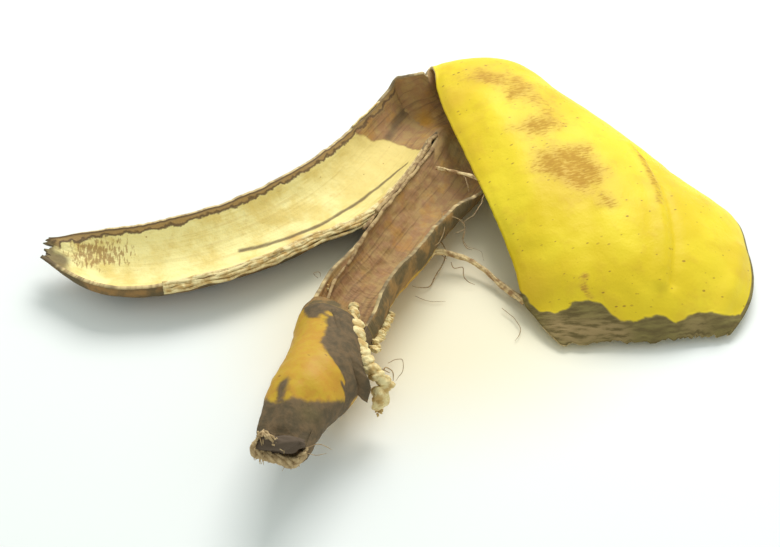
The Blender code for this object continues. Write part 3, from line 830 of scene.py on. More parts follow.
def specks(tree, at, spacing, size, seed, stretch):
    """Specks of the skin."""
    return use_group(tree, "freckles", {"Along": at["along"], "Side": at["side"], "Spacing": spacing,
                                        "Size": size, "Seed": seed, "Stretch": stretch})


def stain(tree, painted, texture, breakup, threshold, softness):
    """Painted amount broken up by a grain."""
    return use_group(tree, "stain", {"Painted": painted, "Grain": texture, "Breakup": breakup,
                                     "Threshold": threshold, "Softness": softness})


def outside_material(settings):
    """Outer skin: yellow, with bruises, freckles, a dark torn border and a brown, drying neck."""
    material, tree, shader = new_material("banana skin outside")
    at = skin_values(tree)
    patch = cloud(tree, 8.0)
    leather = cloud(tree, 2.6, 6.0)
    scratch = grain(tree, at, 1.5, 6.0, 8.0, 6.0)
    narrow = at["narrow"]
    shade = ease_range(tree, cloud(tree, 26.0, 2.0), 0.38, 0.62)
    coat = Coat(tree, settings, shade, "yellow_light", "yellow_deep")
    coat.lay(ease_range(tree, patch, 0.5, 0.7), "yellow_warm", 0.35)
    coat.lay(narrow, "neck_yellow", 0.8)
    coat.lay(times(tree, ease_range(tree, leather, 0.4, 0.62, 0.0, 0.75), narrow), "orange")
    coat.lay(most_of(tree, at["warm"], at["tint"]), "orange", 0.6)
    marks = bruise(tree, at, coat, patch)
    speckle(tree, at, coat, patch)
    dried = Coat(tree, settings, ease_range(tree, leather, 0.35, 0.65), "stalk", "neck_dark")
    dried.lay(at["pale"], "olive", 0.8)
    coat.lay(stain(tree, at["dry"], leather, 0.9, 0.5, 0.3), dried, 0.95)
    border = torn_border(tree, at, settings, (patch, leather, scratch))
    coat.lay(ease_range(tree, at["skirt"], 0.25, 0.75), border)
    worn = most_of(tree, most_of(tree, at["dry"], marks), at["skirt"])
    heights = [(patch, 0.4), (cloud(tree, 0.6, 3.0), 0.05), (times(tree, scratch, at["skirt"]), 0.5),
               (times(tree, leather, at["dry"]), 0.45)]
    coat.finish(shader, ease_range(tree, worn, 0.0, 1.0, 0.5, 0.8), 0.24, heights)
    return material


def bruise(tree, at, coat, patch):
    """Lay the bruises over a coat: a soft tint with streaks in it. Returns the streaks."""
    dashes = grain(tree, at, 0.6, 2.6, 4.0, 3.0)
    streaky = math_node(tree, "MULTIPLY_ADD", patch, 0.8, dashes)
    marks = stain(tree, at["stain"], times(tree, streaky, 0.56), 3.6, 0.86, 0.32)
    coat.lay(stain(tree, at["stain"], patch, 1.4, 0.6, 0.4), "bruise_light", 0.55)
    coat.lay(marks, "bruise_dark", 0.6)
    return marks


def speckle(tree, at, coat, patch):
    """Lay freckles over a coat: few everywhere, many at the painted places."""
    spots = specks(tree, at, 1.5, 0.29, 1.0, 1.7)
    dots = specks(tree, at, 1.3, 0.17, 7.0, 1.3)
    many = times(tree, dots, ease_range(tree, at["freckle"], 0.45, 0.95, 0.0, 0.8))
    few = times(tree, spots, ease_range(tree, patch, 0.35, 0.6, 0.3, 0.85))
    coat.lay(most_of(tree, few, many), "freckle")


def torn_border(tree, at, settings, textures):
    """Coat of the torn edge: a brown band on the narrow petals, a fibrous skirt on the folded one."""
    patch, leather, scratch = textures
    band = Coat(tree, settings, ease_range(tree, patch, 0.4, 0.62), "band_dark", "band_orange")
    band.lay(ease_range(tree, leather, 0.5, 0.7), "band_dark", 0.5)
    torn = Coat(tree, settings, ease_range(tree, scratch, 0.3, 0.75), "skirt", "skirt_green")
    torn.lay(times(tree, at["tint"], ease_range(tree, scratch, 0.36, 0.56)), "rim_tan", 0.8)
    band.lay(math_node(tree, "SUBTRACT", 1.0, at["narrow"]), torn)
    return band


def inside_material(settings):
    """Inner skin: cream with lengthwise fibres, turned brown where it has been in the air."""
    material, tree, shader = new_material("banana skin inside")
    at = skin_values(tree)
    fibre = grain(tree, at, 26.0, 1.3, 4.0, 4.0)
    cross = grain(tree, at, 1.3, 7.0, 7.0, 5.0)
    patch = cloud(tree, 7.0, 5.0)
    blotch = cloud(tree, 4.0, 5.0)
    shade = ease_range(tree, cloud(tree, 13.0, 4.0), 0.42, 0.66)
    coat = Coat(tree, settings, shade, "cream", "cream_deep")
    coat.lay(ease_range(tree, at["along"], 15.0, 80.0, 0.95, 0.0), "cream_deep")
    coat.lay(ease_range(tree, fibre, 0.52, 0.72), "tan", 0.3)
    coat.lay(ease_range(tree, blotch, 0.56, 0.74), "tan", 0.3)
    coat.lay(specks(tree, at, 3.4, 0.14, 3.0, 1.0), "dash", 0.6)
    dashes = stain(tree, at["warm"], grain(tree, at, 0.8, 2.6, 2.0, 4.0), 2.4, 0.85, 0.18)
    coat.lay(dashes, "dash", 0.75)
    brown = stain(tree, at["inner"], patch, 0.7, 0.5, 0.25)
    folded_up = ease_range(tree, at["along"], 40.0, 70.0, 0.1, 0.4)
    mottled = Coat(tree, settings, ease_range(tree, blotch, 0.38, 0.62), "brown_light", "brown_pink")
    mottled.lay(ease_range(tree, patch, 0.5, 0.7), "orange", 0.35)
    mottled.lay(ease_range(tree, fibre, 0.5, 0.68), "brown_dark", 0.45)
    mottled.lay(times(tree, ease_range(tree, cross, 0.54, 0.7), folded_up), "brown_dark")
    mottled.lay(at["pale"], "root_pale", 0.8)
    mottled.lay(at["tint"], "orange", 0.8)
    coat.lay(brown, mottled)
    left_tint = times(tree, ease_range(tree, at["petal"], 0.4, 0.6, 1.0, 0.0), 0.7)
    coat.lay(times(tree, at["tint"], left_tint), "orange")
    back_band(tree, at, coat, blotch)
    dark = stain(tree, at["dry"], patch, 0.5, 0.5, 0.3)
    coat.lay(times(tree, dark, ease_range(tree, at["petal"], 0.4, 0.6, 0.85, 0.4)), "brown_deep")
    near_rim = ease_range(tree, math_node(tree, "MULTIPLY_ADD", patch, 2.0, at["rim"]), 1.0, 2.6, 0.5, 0.0)
    coat.lay(times(tree, near_rim, brown), "rim_tan")
    wrinkle = times(tree, cross, times(tree, brown, folded_up))
    coat.finish(shader, 0.72, 0.25, [(fibre, 0.25), (patch, 0.6), (blotch, 0.35), (wrinkle, 1.2)])
    return material


def back_band(tree, at, coat, blotch):
    """Lay the brown band along the long petal's back edge, with a dark line on both its sides."""
    uneven = math_node(tree, "SUBTRACT", blotch, 0.5)
    ragged = math_node(tree, "MULTIPLY_ADD", uneven, 5.0, at["rim"])
    coat.lay(times(tree, at["back"], ease_range(tree, ragged, 1.8, 2.4, 1.0, 0.0)), "brown_light")
    line = times(tree, ease_range(tree, ragged, 1.2, 1.8), ease_range(tree, ragged, 2.2, 2.7, 1.0, 0.0))
    line = most_of(tree, line, ease_range(tree, at["rim"], 0.3, 0.9, 1.0, 0.0))
    coat.lay(times(tree, line, at["back"]), "brown_dark", 0.85)


def rim_material(settings):
    """Torn edge of the skin: pale fibres with brown between them."""
    material, tree, shader = new_material("banana skin torn edge")
    at = skin_values(tree)
    threads = grain(tree, at, 3.0, 0.5, 5.0, 5.0)
    coat = Coat(tree, settings, ease_range(tree, threads, 0.35, 0.6), "rim_tan", "rim_cream")
    browned = most_of(tree, at["dry"], times(tree, at["inner"], 0.55))
    coat.lay(stain(tree, browned, grain(tree, at, 7.0, 3.0, 1.0, 4.0), 1.2, 0.5, 0.2), "rim_dark", 0.9)
    coat.finish(shader, 0.85, None, [(threads, 0.4)])
    return material


def plain_material(name, light, dark, roughness, scale, depth):
    """Fibrous finish in object coordinates: two colours, a roughness and a fine bump."""
    material, tree, shader = new_material(name)
    texture = cloud(tree, scale, 5.0)
    colour = blend_colour(tree, ease_range(tree, texture, 0.36, 0.62), dark, light)
    fill_inputs(tree, shader, {"Base Color": colour, "Roughness": roughness})
    bump_into(tree, shader, [(texture, depth)])
    return material


def core_material(settings):
    """Dry fibres that fill the stalk: dark at the neck, tan at the broken end, with painted shade in the gaps
    between the fibres.
    """
    material, tree, shader = new_material("banana stalk core")
    at = skin_values(tree, ("along", "side"))
    fibre = grain(tree, at, 9.0, 0.5, 2.0, 4.0)
    pale = ease_range(tree, at["along"], settings.tan_from, settings.tan_from + 5.0)
    colour = blend_colour(tree, pale, settings.dark, settings.pale)
    # Painted shade: the deep colour darkens the gaps between the fibres, where the bump is lowest
    colour = blend_colour(tree, ease_range(tree, fibre, 0.42, 0.6), settings.deep, colour)
    fill_inputs(tree, shader, {"Base Color": colour, "Roughness": 0.88})
    bump_into(tree, shader, [(fibre, 0.5)])
    return material


def table_material(settings):
    """Matt white table, with painted warm shade and bounce light from the peel in a patch round it."""
    material, tree, shader = new_material("white table")
    place = add_node(tree, "ShaderNodeTexCoord").outputs["Object"]
    size = [2.0 / length for length in settings.painted_bounce_size[:2]]
    for operation, value in (("SUBTRACT", settings.painted_bounce_place), ("MULTIPLY", (*size, 0.0))):
        place = add_node(tree, "ShaderNodeVectorMath", {0: place, 1: value}, operation=operation).outputs[0]
    away = add_node(tree, "ShaderNodeVectorMath", {0: place}, operation="LENGTH").outputs["Value"]
    # Painted warm shade and bounce light: the table's colour turns warmer and darker towards the patch's
    # middle
    bounce_share = ease_range(tree, away, 0.3, 1.0, 1.0, 0.0)
    colour = blend_colour(tree, bounce_share, settings.table, settings.table_painted_bounce)
    tree.links.new(colour, shader.inputs["Base Color"])
    shader.inputs["Roughness"].default_value = 0.9
    shader.inputs["Specular IOR Level"].default_value = 0.2
    return material


# Painting

def grain_at(points, size, seed):
    """Smooth noise from -1 to 1 at every point, with the given size in millimetres."""
    shift = Vector((seed * 7.3, seed * 3.1, seed * 1.7))
    return np.array([noise.noise(Vector(p) / size + shift) for p in points.tolist()])


def masks(points, along, side, petal, rim):
    """Painted amounts from 0 to 1 by name."""
    fold, left, middle, base = [petal == number for number in (FOLDED, LEFT, MIDDLE, BASE)]
    uneven = grain_at(points, 7.0, 5.0)
    shaken = points + np.array([0.0, 1.0, 0.0]) * (uneven + 0.6 * grain_at(points, 2.2, 9.0))[:, None]
    flat = np.stack([along, side], axis=1)
    root = left * beyond(shaken, ROOT_BORDER, 3.0)
    inner = np.maximum(root, (middle | base) * 0.9) + fold * (1.0 - smooth((along - 9.0) / 7.0))
    stain = fold * (soft_spots(points, BRUISES) + painted_lines(points, [FOLD_LINE]))
    dry = left * (soft_spots(points, TIP_DARK) + painted_lines(points, [(ROOT_SHADE, 2.6, 0.7)]))
    dry += left * painted_lines(flat, [FRONT_LINE])
    dry += middle * neck_darkness(points, along, side, uneven)
    warm = left * soft_spots(points, TIP_DASHES) + fold * soft_spots(points, ORANGE)
    tint = (middle | base) * soft_spots(points, ORANGE_ROOT) + middle * soft_spots(points, NECK_WARM)
    tint += left * soft_spots(points, LIP_ORANGE) + fold * soft_spots(points, SKIRT_TAN)
    pale = (middle | base) * soft_spots(points, PALE_ROOT) + middle * soft_spots(points, STALK_OLIVE)
    front = fold * (1.0 - beyond(shaken, SKIRT_TOP, 1.6))
    width = np.where(left, LEFT_BORDER, MIDDLE_BORDER) * (1.0 + 0.25 * uneven)
    narrow = np.where(base, smooth(1.0 + along / BASE_LENGTH), 1.0 - fold)
    width = width * np.where(base, narrow ** 2, 1.0)
    edge = (left | base | (middle & (along < NECK_SHUT))) * (1.0 - smooth((rim - width) / 3.0))
    edge = edge * np.where(base, smooth(2.0 * narrow), 1.0)
    right_end = fold * smooth((points[:, 0] - RIGHT_END_FROM) / 5.0)
    edge = np.maximum(edge, right_end * (1.0 - smooth((rim - 0.8) / 1.0)))
    freckle = fold * (0.35 + soft_spots(points, FRECKLE_PATCHES))
    amounts = {"stain": stain, "inner": inner, "dry": dry, "warm": warm, "tint": tint, "pale": pale,
               "skirt": np.maximum(front, edge), "freckle": freckle, "narrow": narrow,
               "back": left * smooth((side - 3.0) / 3.0)}
    return {name: np.clip(values, 0.0, 1.0) for name, values in amounts.items()}


def neck_darkness(points, along, side, uneven):
    """How dark and dry the neck and stalk are at every point."""
    line = np.array(MOUTH_BAND)
    start = np.interp(along, line[:, 0], line[:, 1])
    inside = (along > line[0, 0]) * (along < line[-1, 0] + 1.0)
    band = inside * smooth((side - start + 1.2 * uneven) / 2.8 + 0.5)
    under = inside * (side < UNDER_NECK_SIDE) * smooth((UNDER_NECK_SIDE - side) / 2.0)
    streak = painted_lines(points, [(NECK_YELLOW_STREAK, 1.3, 0.9)])
    down = points[:, 1] * STALK_SLOPE[0] + points[:, 2] * STALK_SLOPE[1]
    stalk = (along > STALK_FROM) * smooth((STALK_DARK_FROM - down + 1.2 * uneven) / 3.2 + 0.5)
    patch = painted_lines(points, [(STALK_PATCH, 2.3, 1.0)])
    return np.clip(np.maximum(band, under) - streak, 0.0, 1.0) + np.maximum(stalk, patch)


def relief(points, along, side, petal):
    """Small rise of the surface in millimetres: ridge lines, creases and slight unevenness."""
    at = points[:, :2]
    rise = 0.45 * grain_at(points, 16.0, 1.0) + 0.18 * grain_at(points, 5.0, 2.0)
    outside = (petal == FOLDED)
    for line, width, height in FOLD_RIDGES:
        rise += outside * height * np.exp(-(line_distance(at, line) / width) ** 2)
    for line, width, height in INNER_CREASES:
        rise -= (~outside) * height * np.exp(-(line_distance(at, line) / width) ** 2)
    rise += ((petal == MIDDLE) | (petal == BASE)) * 0.3 * grain_at(points, 2.6, 3.0)
    flat = np.stack([along, side], axis=1)
    for line, width, height in STALK_FOLDS:
        rise += (petal == MIDDLE) * height * np.exp(-(line_distance(flat, line) / width) ** 2)
    return rise


# Placing and building pieces

def to_model(points):
    """Layout millimetres to metres in the model's own frame."""
    return (np.asarray(points, float) + FRAME_SHIFT) * MM


def add_object(name, bm, materials):
    """Object with the finished shape, riding on the peel's body."""
    mesh = bpy.data.meshes.new(name)
    bm.to_mesh(mesh)
    bm.free()
    for material in materials:
        mesh.materials.append(material)
    mesh.shade_smooth()
    obj = bpy.data.objects.new(name, mesh)
    bpy.context.scene.collection.objects.link(obj)
    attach(obj, "root")
    return obj


def resample(path, step):
    """Points every step along a smooth curve through the path."""
    path = np.asarray(path, float)
    reach = np.concatenate([[0.0], np.cumsum(np.linalg.norm(np.diff(path, axis=0), axis=1))])
    rows = max(4, int(reach[-1] / step))
    t = np.linspace(0.0, reach[-1], rows)
    if len(path) < 3:
        return np.stack([np.interp(t, reach, path[:, k]) for k in range(3)], axis=1)
    slopes = np.gradient(path, reach, axis=0)
    k = np.clip(np.searchsorted(reach, t, side="right") - 1, 0, len(path) - 2)
    gap = (reach[k + 1] - reach[k])[:, None]
    s = ((t - reach[k])[:, None]) / gap
    rise = path[k] * (2 * s ** 3 - 3 * s ** 2 + 1) + path[k + 1] * (3 * s ** 2 - 2 * s ** 3)
    return rise + gap * (slopes[k] * (s ** 3 - 2 * s ** 2 + s) + slopes[k + 1] * (s ** 3 - s ** 2))


def add_tube(bm, path, radii, sides=6, flat=1.0):
    """Closed tube along a path, in layout millimetres; flat squeezes it along its own normal."""
    path = np.asarray(path, float)
    heading = np.gradient(path, axis=0)
    heading /= np.linalg.norm(heading, axis=1)[:, None] + 1e-9
    guide = np.array([0.0, 0.0, 1.0])
    if abs(heading[0] @ guide) > 0.9:
        guide = np.array([1.0, 0.0, 0.0])
    rings = []
    side = np.cross(heading[0], guide)
    for k in range(len(path)):
        side = side - heading[k] * (side @ heading[k])
        side /= np.linalg.norm(side) + 1e-9
        up = np.cross(side, heading[k])
        ring = []
        for j in range(sides):
            angle = 2.0 * math.pi * j / sides
            spot = path[k] + radii[k] * (side * math.cos(angle) + up * (flat * math.sin(angle)))
            ring.append(bm.verts.new(to_model(spot)))
        rings.append(ring)
    for a, b in zip(rings[:-1], rings[1:]):
        for j in range(sides):
            bm.faces.new((a[j], a[(j + 1) % sides], b[(j + 1) % sides], b[j]))
    bm.faces.new(list(reversed(rings[0])))
    bm.faces.new(rings[-1])


def kink(path, size, depth, seed):
    """Path shaken a little by noise, its two ends kept."""
    path = np.asarray(path, float)
    ease = np.clip(np.minimum(np.arange(len(path)), np.arange(len(path))[::-1]) / 3.0, 0.0, 1.0)
    start = Vector((seed, 2.3 * seed, 0.7 * seed))
    shift = np.array([list(noise.noise_vector(Vector(p) / size + start)) for p in path])
    return path + depth * ease[:, None] * shift


def outward(bm):
    """Turn every face outwards."""
    bmesh.ops.recalc_face_normals(bm, faces=bm.faces)


def add_lump(bm, centre, radii, rough, seed, turn=None):
    """Uneven closed lump: a round one pushed in and out by noise."""
    made = bmesh.ops.create_icosphere(bm, subdivisions=4, radius=1.0)["verts"]
    shift = Vector((seed * 3.7, seed * 1.3, seed * 5.1))
    for vert in made:
        out = vert.co.normalized()
        swell = 1.0 + rough * noise.noise(out * 1.1 + shift) + 0.3 * rough * noise.noise(out * 2.6 + shift)
        place = np.array(out) * swell * np.array(radii)
        if turn is not None:
            place = turn @ place
        place = place + 0.12 * np.array(noise.noise_vector(Vector(place) * 1.2 + shift))
        vert.co = Vector(to_model(place + np.array(centre)))


def add_fluff(bm, centre, reach, count, radius, seed):
    """Clump of short curled fibres round a point."""
    rng = np.random.default_rng(seed)
    for _ in range(count):
        start = np.array(centre) + rng.normal(0.0, 0.32, 3) * reach
        turn = rng.normal(0.0, 1.0, 3)
        turn /= np.linalg.norm(turn)
        axis = np.cross(turn, rng.normal(0.0, 1.0, 3))
        axis /= np.linalg.norm(axis)
        length = reach * rng.uniform(0.4, 1.0)
        bend = rng.uniform(0.6, 2.4)
        t = np.linspace(0.0, 1.0, 6)
        path = [start + length * (turn * math.sin(bend * s) / bend + axis * (1.0 - math.cos(bend * s)) / bend)
                for s in t]
        width = radius * rng.uniform(0.6, 1.3)
        add_tube(bm, path, width * np.array(CURL_TAPER), sides=5, flat=rng.uniform(0.4, 1.0))


# Skin

def paint_and_shape(bm):
    """Push the relief into the skin; returns the painted amounts and the distance from a torn edge."""
    layers = bm.verts.layers.float
    names = ("along_at", "side_at", "petal")
    along, side, petal = [np.array([v[layers[name]] for v in bm.verts]) for name in names]
    petal = np.round(petal).astype(int)
    points = np.array([list(v.co) for v in bm.verts])
    rim = rim_distances(bm)
    amounts = masks(points, along, side, petal, rim)
    amounts["rim"] = rim
    rise = relief(points, along, side, petal) * smooth(rim / RELIEF_EASE)
    corner = soft_spots(points, EDGE_CORNERS)
    normals = [v.normal.copy() for v in bm.verts]
    for k, vert in enumerate(bm.verts):
        vert.co = vert.co + normals[k] * float(rise[k]) + Vector((0.0, 0.0, float(corner[k])))
    return amounts, rim


def float_attribute(mesh, name, values):
    """Write one number per point."""
    attribute = mesh.attributes.get(name) or mesh.attributes.new(name, "FLOAT", "POINT")
    attribute.data.foreach_set("value", np.asarray(values, np.float32))


class PEEL_OT_skin(bpy.types.Operator):
    """Lay out the peeled skin with its three petals, neck and stalk"""
    bl_idname = "peel.skin"
    bl_label = "Banana Skin"

    def execute(self, context):
        settings = context.scene.peel_skin
        bm = skin_bmesh()
        bm.normal_update()
        amounts, rim = paint_and_shape(bm)
        for vert in bm.verts:
            vert.co = Vector(to_model(vert.co))
        materials = [outside_material(settings), inside_material(settings), rim_material(settings)]
        obj = add_object("banana_skin", bm, materials)
        for name, values in amounts.items():
            float_attribute(obj.data, name, values)
        group = obj.vertex_groups.new(name="thickness")
        grown = (1.0 - settings.edge_share) * smooth(rim / settings.edge_band)
        share = np.round((settings.edge_share + grown) * THICKNESS_STEPS)
        for step in np.unique(share):
            group.add(np.where(share == step)[0].tolist(), float(step) / THICKNESS_STEPS, "REPLACE")
        solid = obj.modifiers.new("thickness", "SOLIDIFY")
        solid.thickness = settings.thickness
        solid.offset = 0.0
        solid.vertex_group = "thickness"
        solid.use_rim = True
        solid.material_offset = 1
        solid.material_offset_rim = 2
        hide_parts("peel")
        return {"FINISHED"}


# Stalk core

def neck_rings():
    """The closed rings of the neck and stalk, in layout millimetres, and their places along it."""
    points, along, _, _ = petal_grids()[MIDDLE]
    return points[:, :-1], along[:, 0]


def core_rings(rings, along, settings):
    """Rings of the dry core: it closes to a point in the neck and stops short of the stalk's end."""
    length = along[-1]
    t = np.linspace(0.0, 1.0, 40)
    place = length * (CORE_FROM + CORE_LENGTH * t)
    fill = CORE_FILL * np.sqrt(np.clip(t / 0.35, 0.0, 1.0))
    made = []
    for s, share in zip(place, fill):
        row = np.array([[np.interp(s, along, rings[:, j, k]) for k in range(3)]
                        for j in range(rings.shape[1])])
        centre = row.mean(axis=0)
        made.append(centre + (row - centre) * max(share, 0.02))
    return np.array(made), place


class PEEL_OT_core(bpy.types.Operator):
    """Fill the neck with its dry core and fray the broken end of the stalk"""
    bl_idname = "peel.core"
    bl_label = "Stalk Core"

    def execute(self, context):
        settings = context.scene.peel_core
        rings, along = neck_rings()
        grid, place = core_rings(rings, along, settings)
        bm = bmesh.new()
        layer_along = bm.verts.layers.float.new("along")
        layer_side = bm.verts.layers.float.new("side")
        rows = []
        for ring, s in zip(grid, place):
            row = [bm.verts.new(to_model(p)) for p in ring]
            for j, vert in enumerate(row):
                vert[layer_along] = s
                vert[layer_side] = 0.9 * j
            rows.append(row)
        count = len(rows[0])
        for a, b in zip(rows[:-1], rows[1:]):
            for j in range(count):
                bm.faces.new((a[j], a[(j + 1) % count], b[(j + 1) % count], b[j]))
        bm.faces.new(rows[0])
        bm.faces.new(rows[-1])
        add_lump(bm, *END_PLUG, 0.6, 2.0)
        outward(bm)
        core = add_object("stalk_core", bm, [core_material(settings)])
        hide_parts("peel")
        self.add_lips(settings)
        return {"FINISHED"}

    def add_lips(self, settings):
        """Two rolled lips of torn fibres round the broken end, with a dark hollow between them."""
        rng = np.random.default_rng(settings.seed)
        bm = bmesh.new()
        for line, size in ((LOWER_LIP, 1.0), (UPPER_LIP, 0.5)):
            spine = resample(line, 0.3)
            t = np.linspace(0.0, 1.0, len(spine))
            for cord in range(settings.cords):
                turn = 2.0 * math.pi * (cord / settings.cords + settings.twist * t)
                reach = settings.lip_radius * size * (0.75 + 0.4 * wander(t * 20.0, 3.0 + cord, 3.0))
                ring = np.stack([0.3 * np.cos(turn), np.cos(turn), np.sin(turn)], axis=1)
                radii = settings.lip_radius * size * (0.55 + 0.25 * wander(t * 24.0, 9.0 + cord, 2.0))
                radii = radii * np.interp(t, [0.0, 0.08, 0.92, 1.0], [0.5, 1.0, 1.0, 0.4])
                add_tube(bm, kink(spine + ring * reach[:, None], 2.0, 0.5, 5.0 + cord), radii, sides=8)
        for _ in range(settings.fibres):
            line = LOWER_LIP if rng.uniform() < 0.7 else UPPER_LIP
            spine = resample(line, 0.3)
            start = spine[int(rng.integers(2, len(spine) - 2))] + rng.normal(0.0, 0.5, 3)
            run = np.array([rng.normal(0.0, 0.8), -rng.uniform(0.1, 1.0), rng.normal(0.0, 0.6)])
            run /= np.linalg.norm(run)
            length = settings.fray * rng.uniform(0.3, 1.0)
            path = [start + run * length * s + np.array([0.0, 0.0, -0.5 * s * s])
                    for s in np.linspace(-0.6, 1.0, 6)]
            radius = rng.uniform(0.10, 0.26)
            line = kink(path, 2.0, 0.4, rng.uniform(0, 40))
            add_tube(bm, line, radius * np.array(FRAY_TAPER), sides=5)
        outward(bm)
        tan = plain_material("stalk fibres", settings.pale, settings.fibre_dark, 0.85, 1.6, 0.25)
        obj = add_object("stalk_end_fibres", bm, [tan])
        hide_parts("peel")


# Loose fibres

class PEEL_OT_strands(bpy.types.Operator):
    """Lay the thick fibre strand and the fine loose fibres"""
    bl_idname = "peel.strands"
    bl_label = "Strands"

    def execute(self, context):
        settings = context.scene.peel_strands
        self.add_thick(settings)
        bm = bmesh.new()
        for k, (path, radius) in enumerate(FINE_FIBRES):
            line = kink(resample(path, 0.5), 3.0, 0.35, 3.0 * k + 1.0)
            taper = np.interp(np.linspace(0, 1, len(line)), [0.0, 0.08, 0.8, 1.0], [0.8, 1.0, 0.9, 0.35])
            add_tube(bm, line, radius * taper, sides=6, flat=0.7)
        outward(bm)
        brown = plain_material("loose fibres", settings.hair_light, settings.hair_dark, 0.7, 1.0, 0.05)
        fine = add_object("loose_fibres", bm, [brown])
        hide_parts("peel")
        return {"FINISHED"}

    def add_thick(self, settings):
        """The thick strand, and the short torn stub above it."""
        bm = bmesh.new()
        self.add_cords(bm, settings, STRAND_PATH, 1.0)
        self.add_cords(bm, settings, STUB_PATH, 0.62)
        outward(bm)
        tan = plain_material("thick strand", settings.strand_light, settings.strand_dark, 0.75, 2.2, 0.2)
        obj = add_object("thick_strand", bm, [tan])
        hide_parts("peel")

    def add_cords(self, bm, settings, path, share):
        """Several twisted cords that part at their ends."""
        spine = resample(path, 0.3)
        t = np.linspace(0.0, 1.0, len(spine))
        for cord in range(settings.cords):
            turn = 2.0 * math.pi * (cord / settings.cords + settings.twist * t)
            open_ends = 0.55 + 0.6 * np.abs(2.0 * t - 1.0) ** 3
            reach = 0.62 * share * settings.strand_radius * open_ends
            offset = [0.4 * reach * np.sin(turn), reach * np.cos(turn), 0.8 * reach * np.sin(turn)]
            radii = share * settings.strand_radius * (0.5 + 0.12 * np.sin(9.0 * t + 2.0 * cord))
            line = kink(spine + np.stack(offset, axis=1), 3.0, 0.25, 5.0 + cord)
            add_tube(bm, line, radii, sides=10)


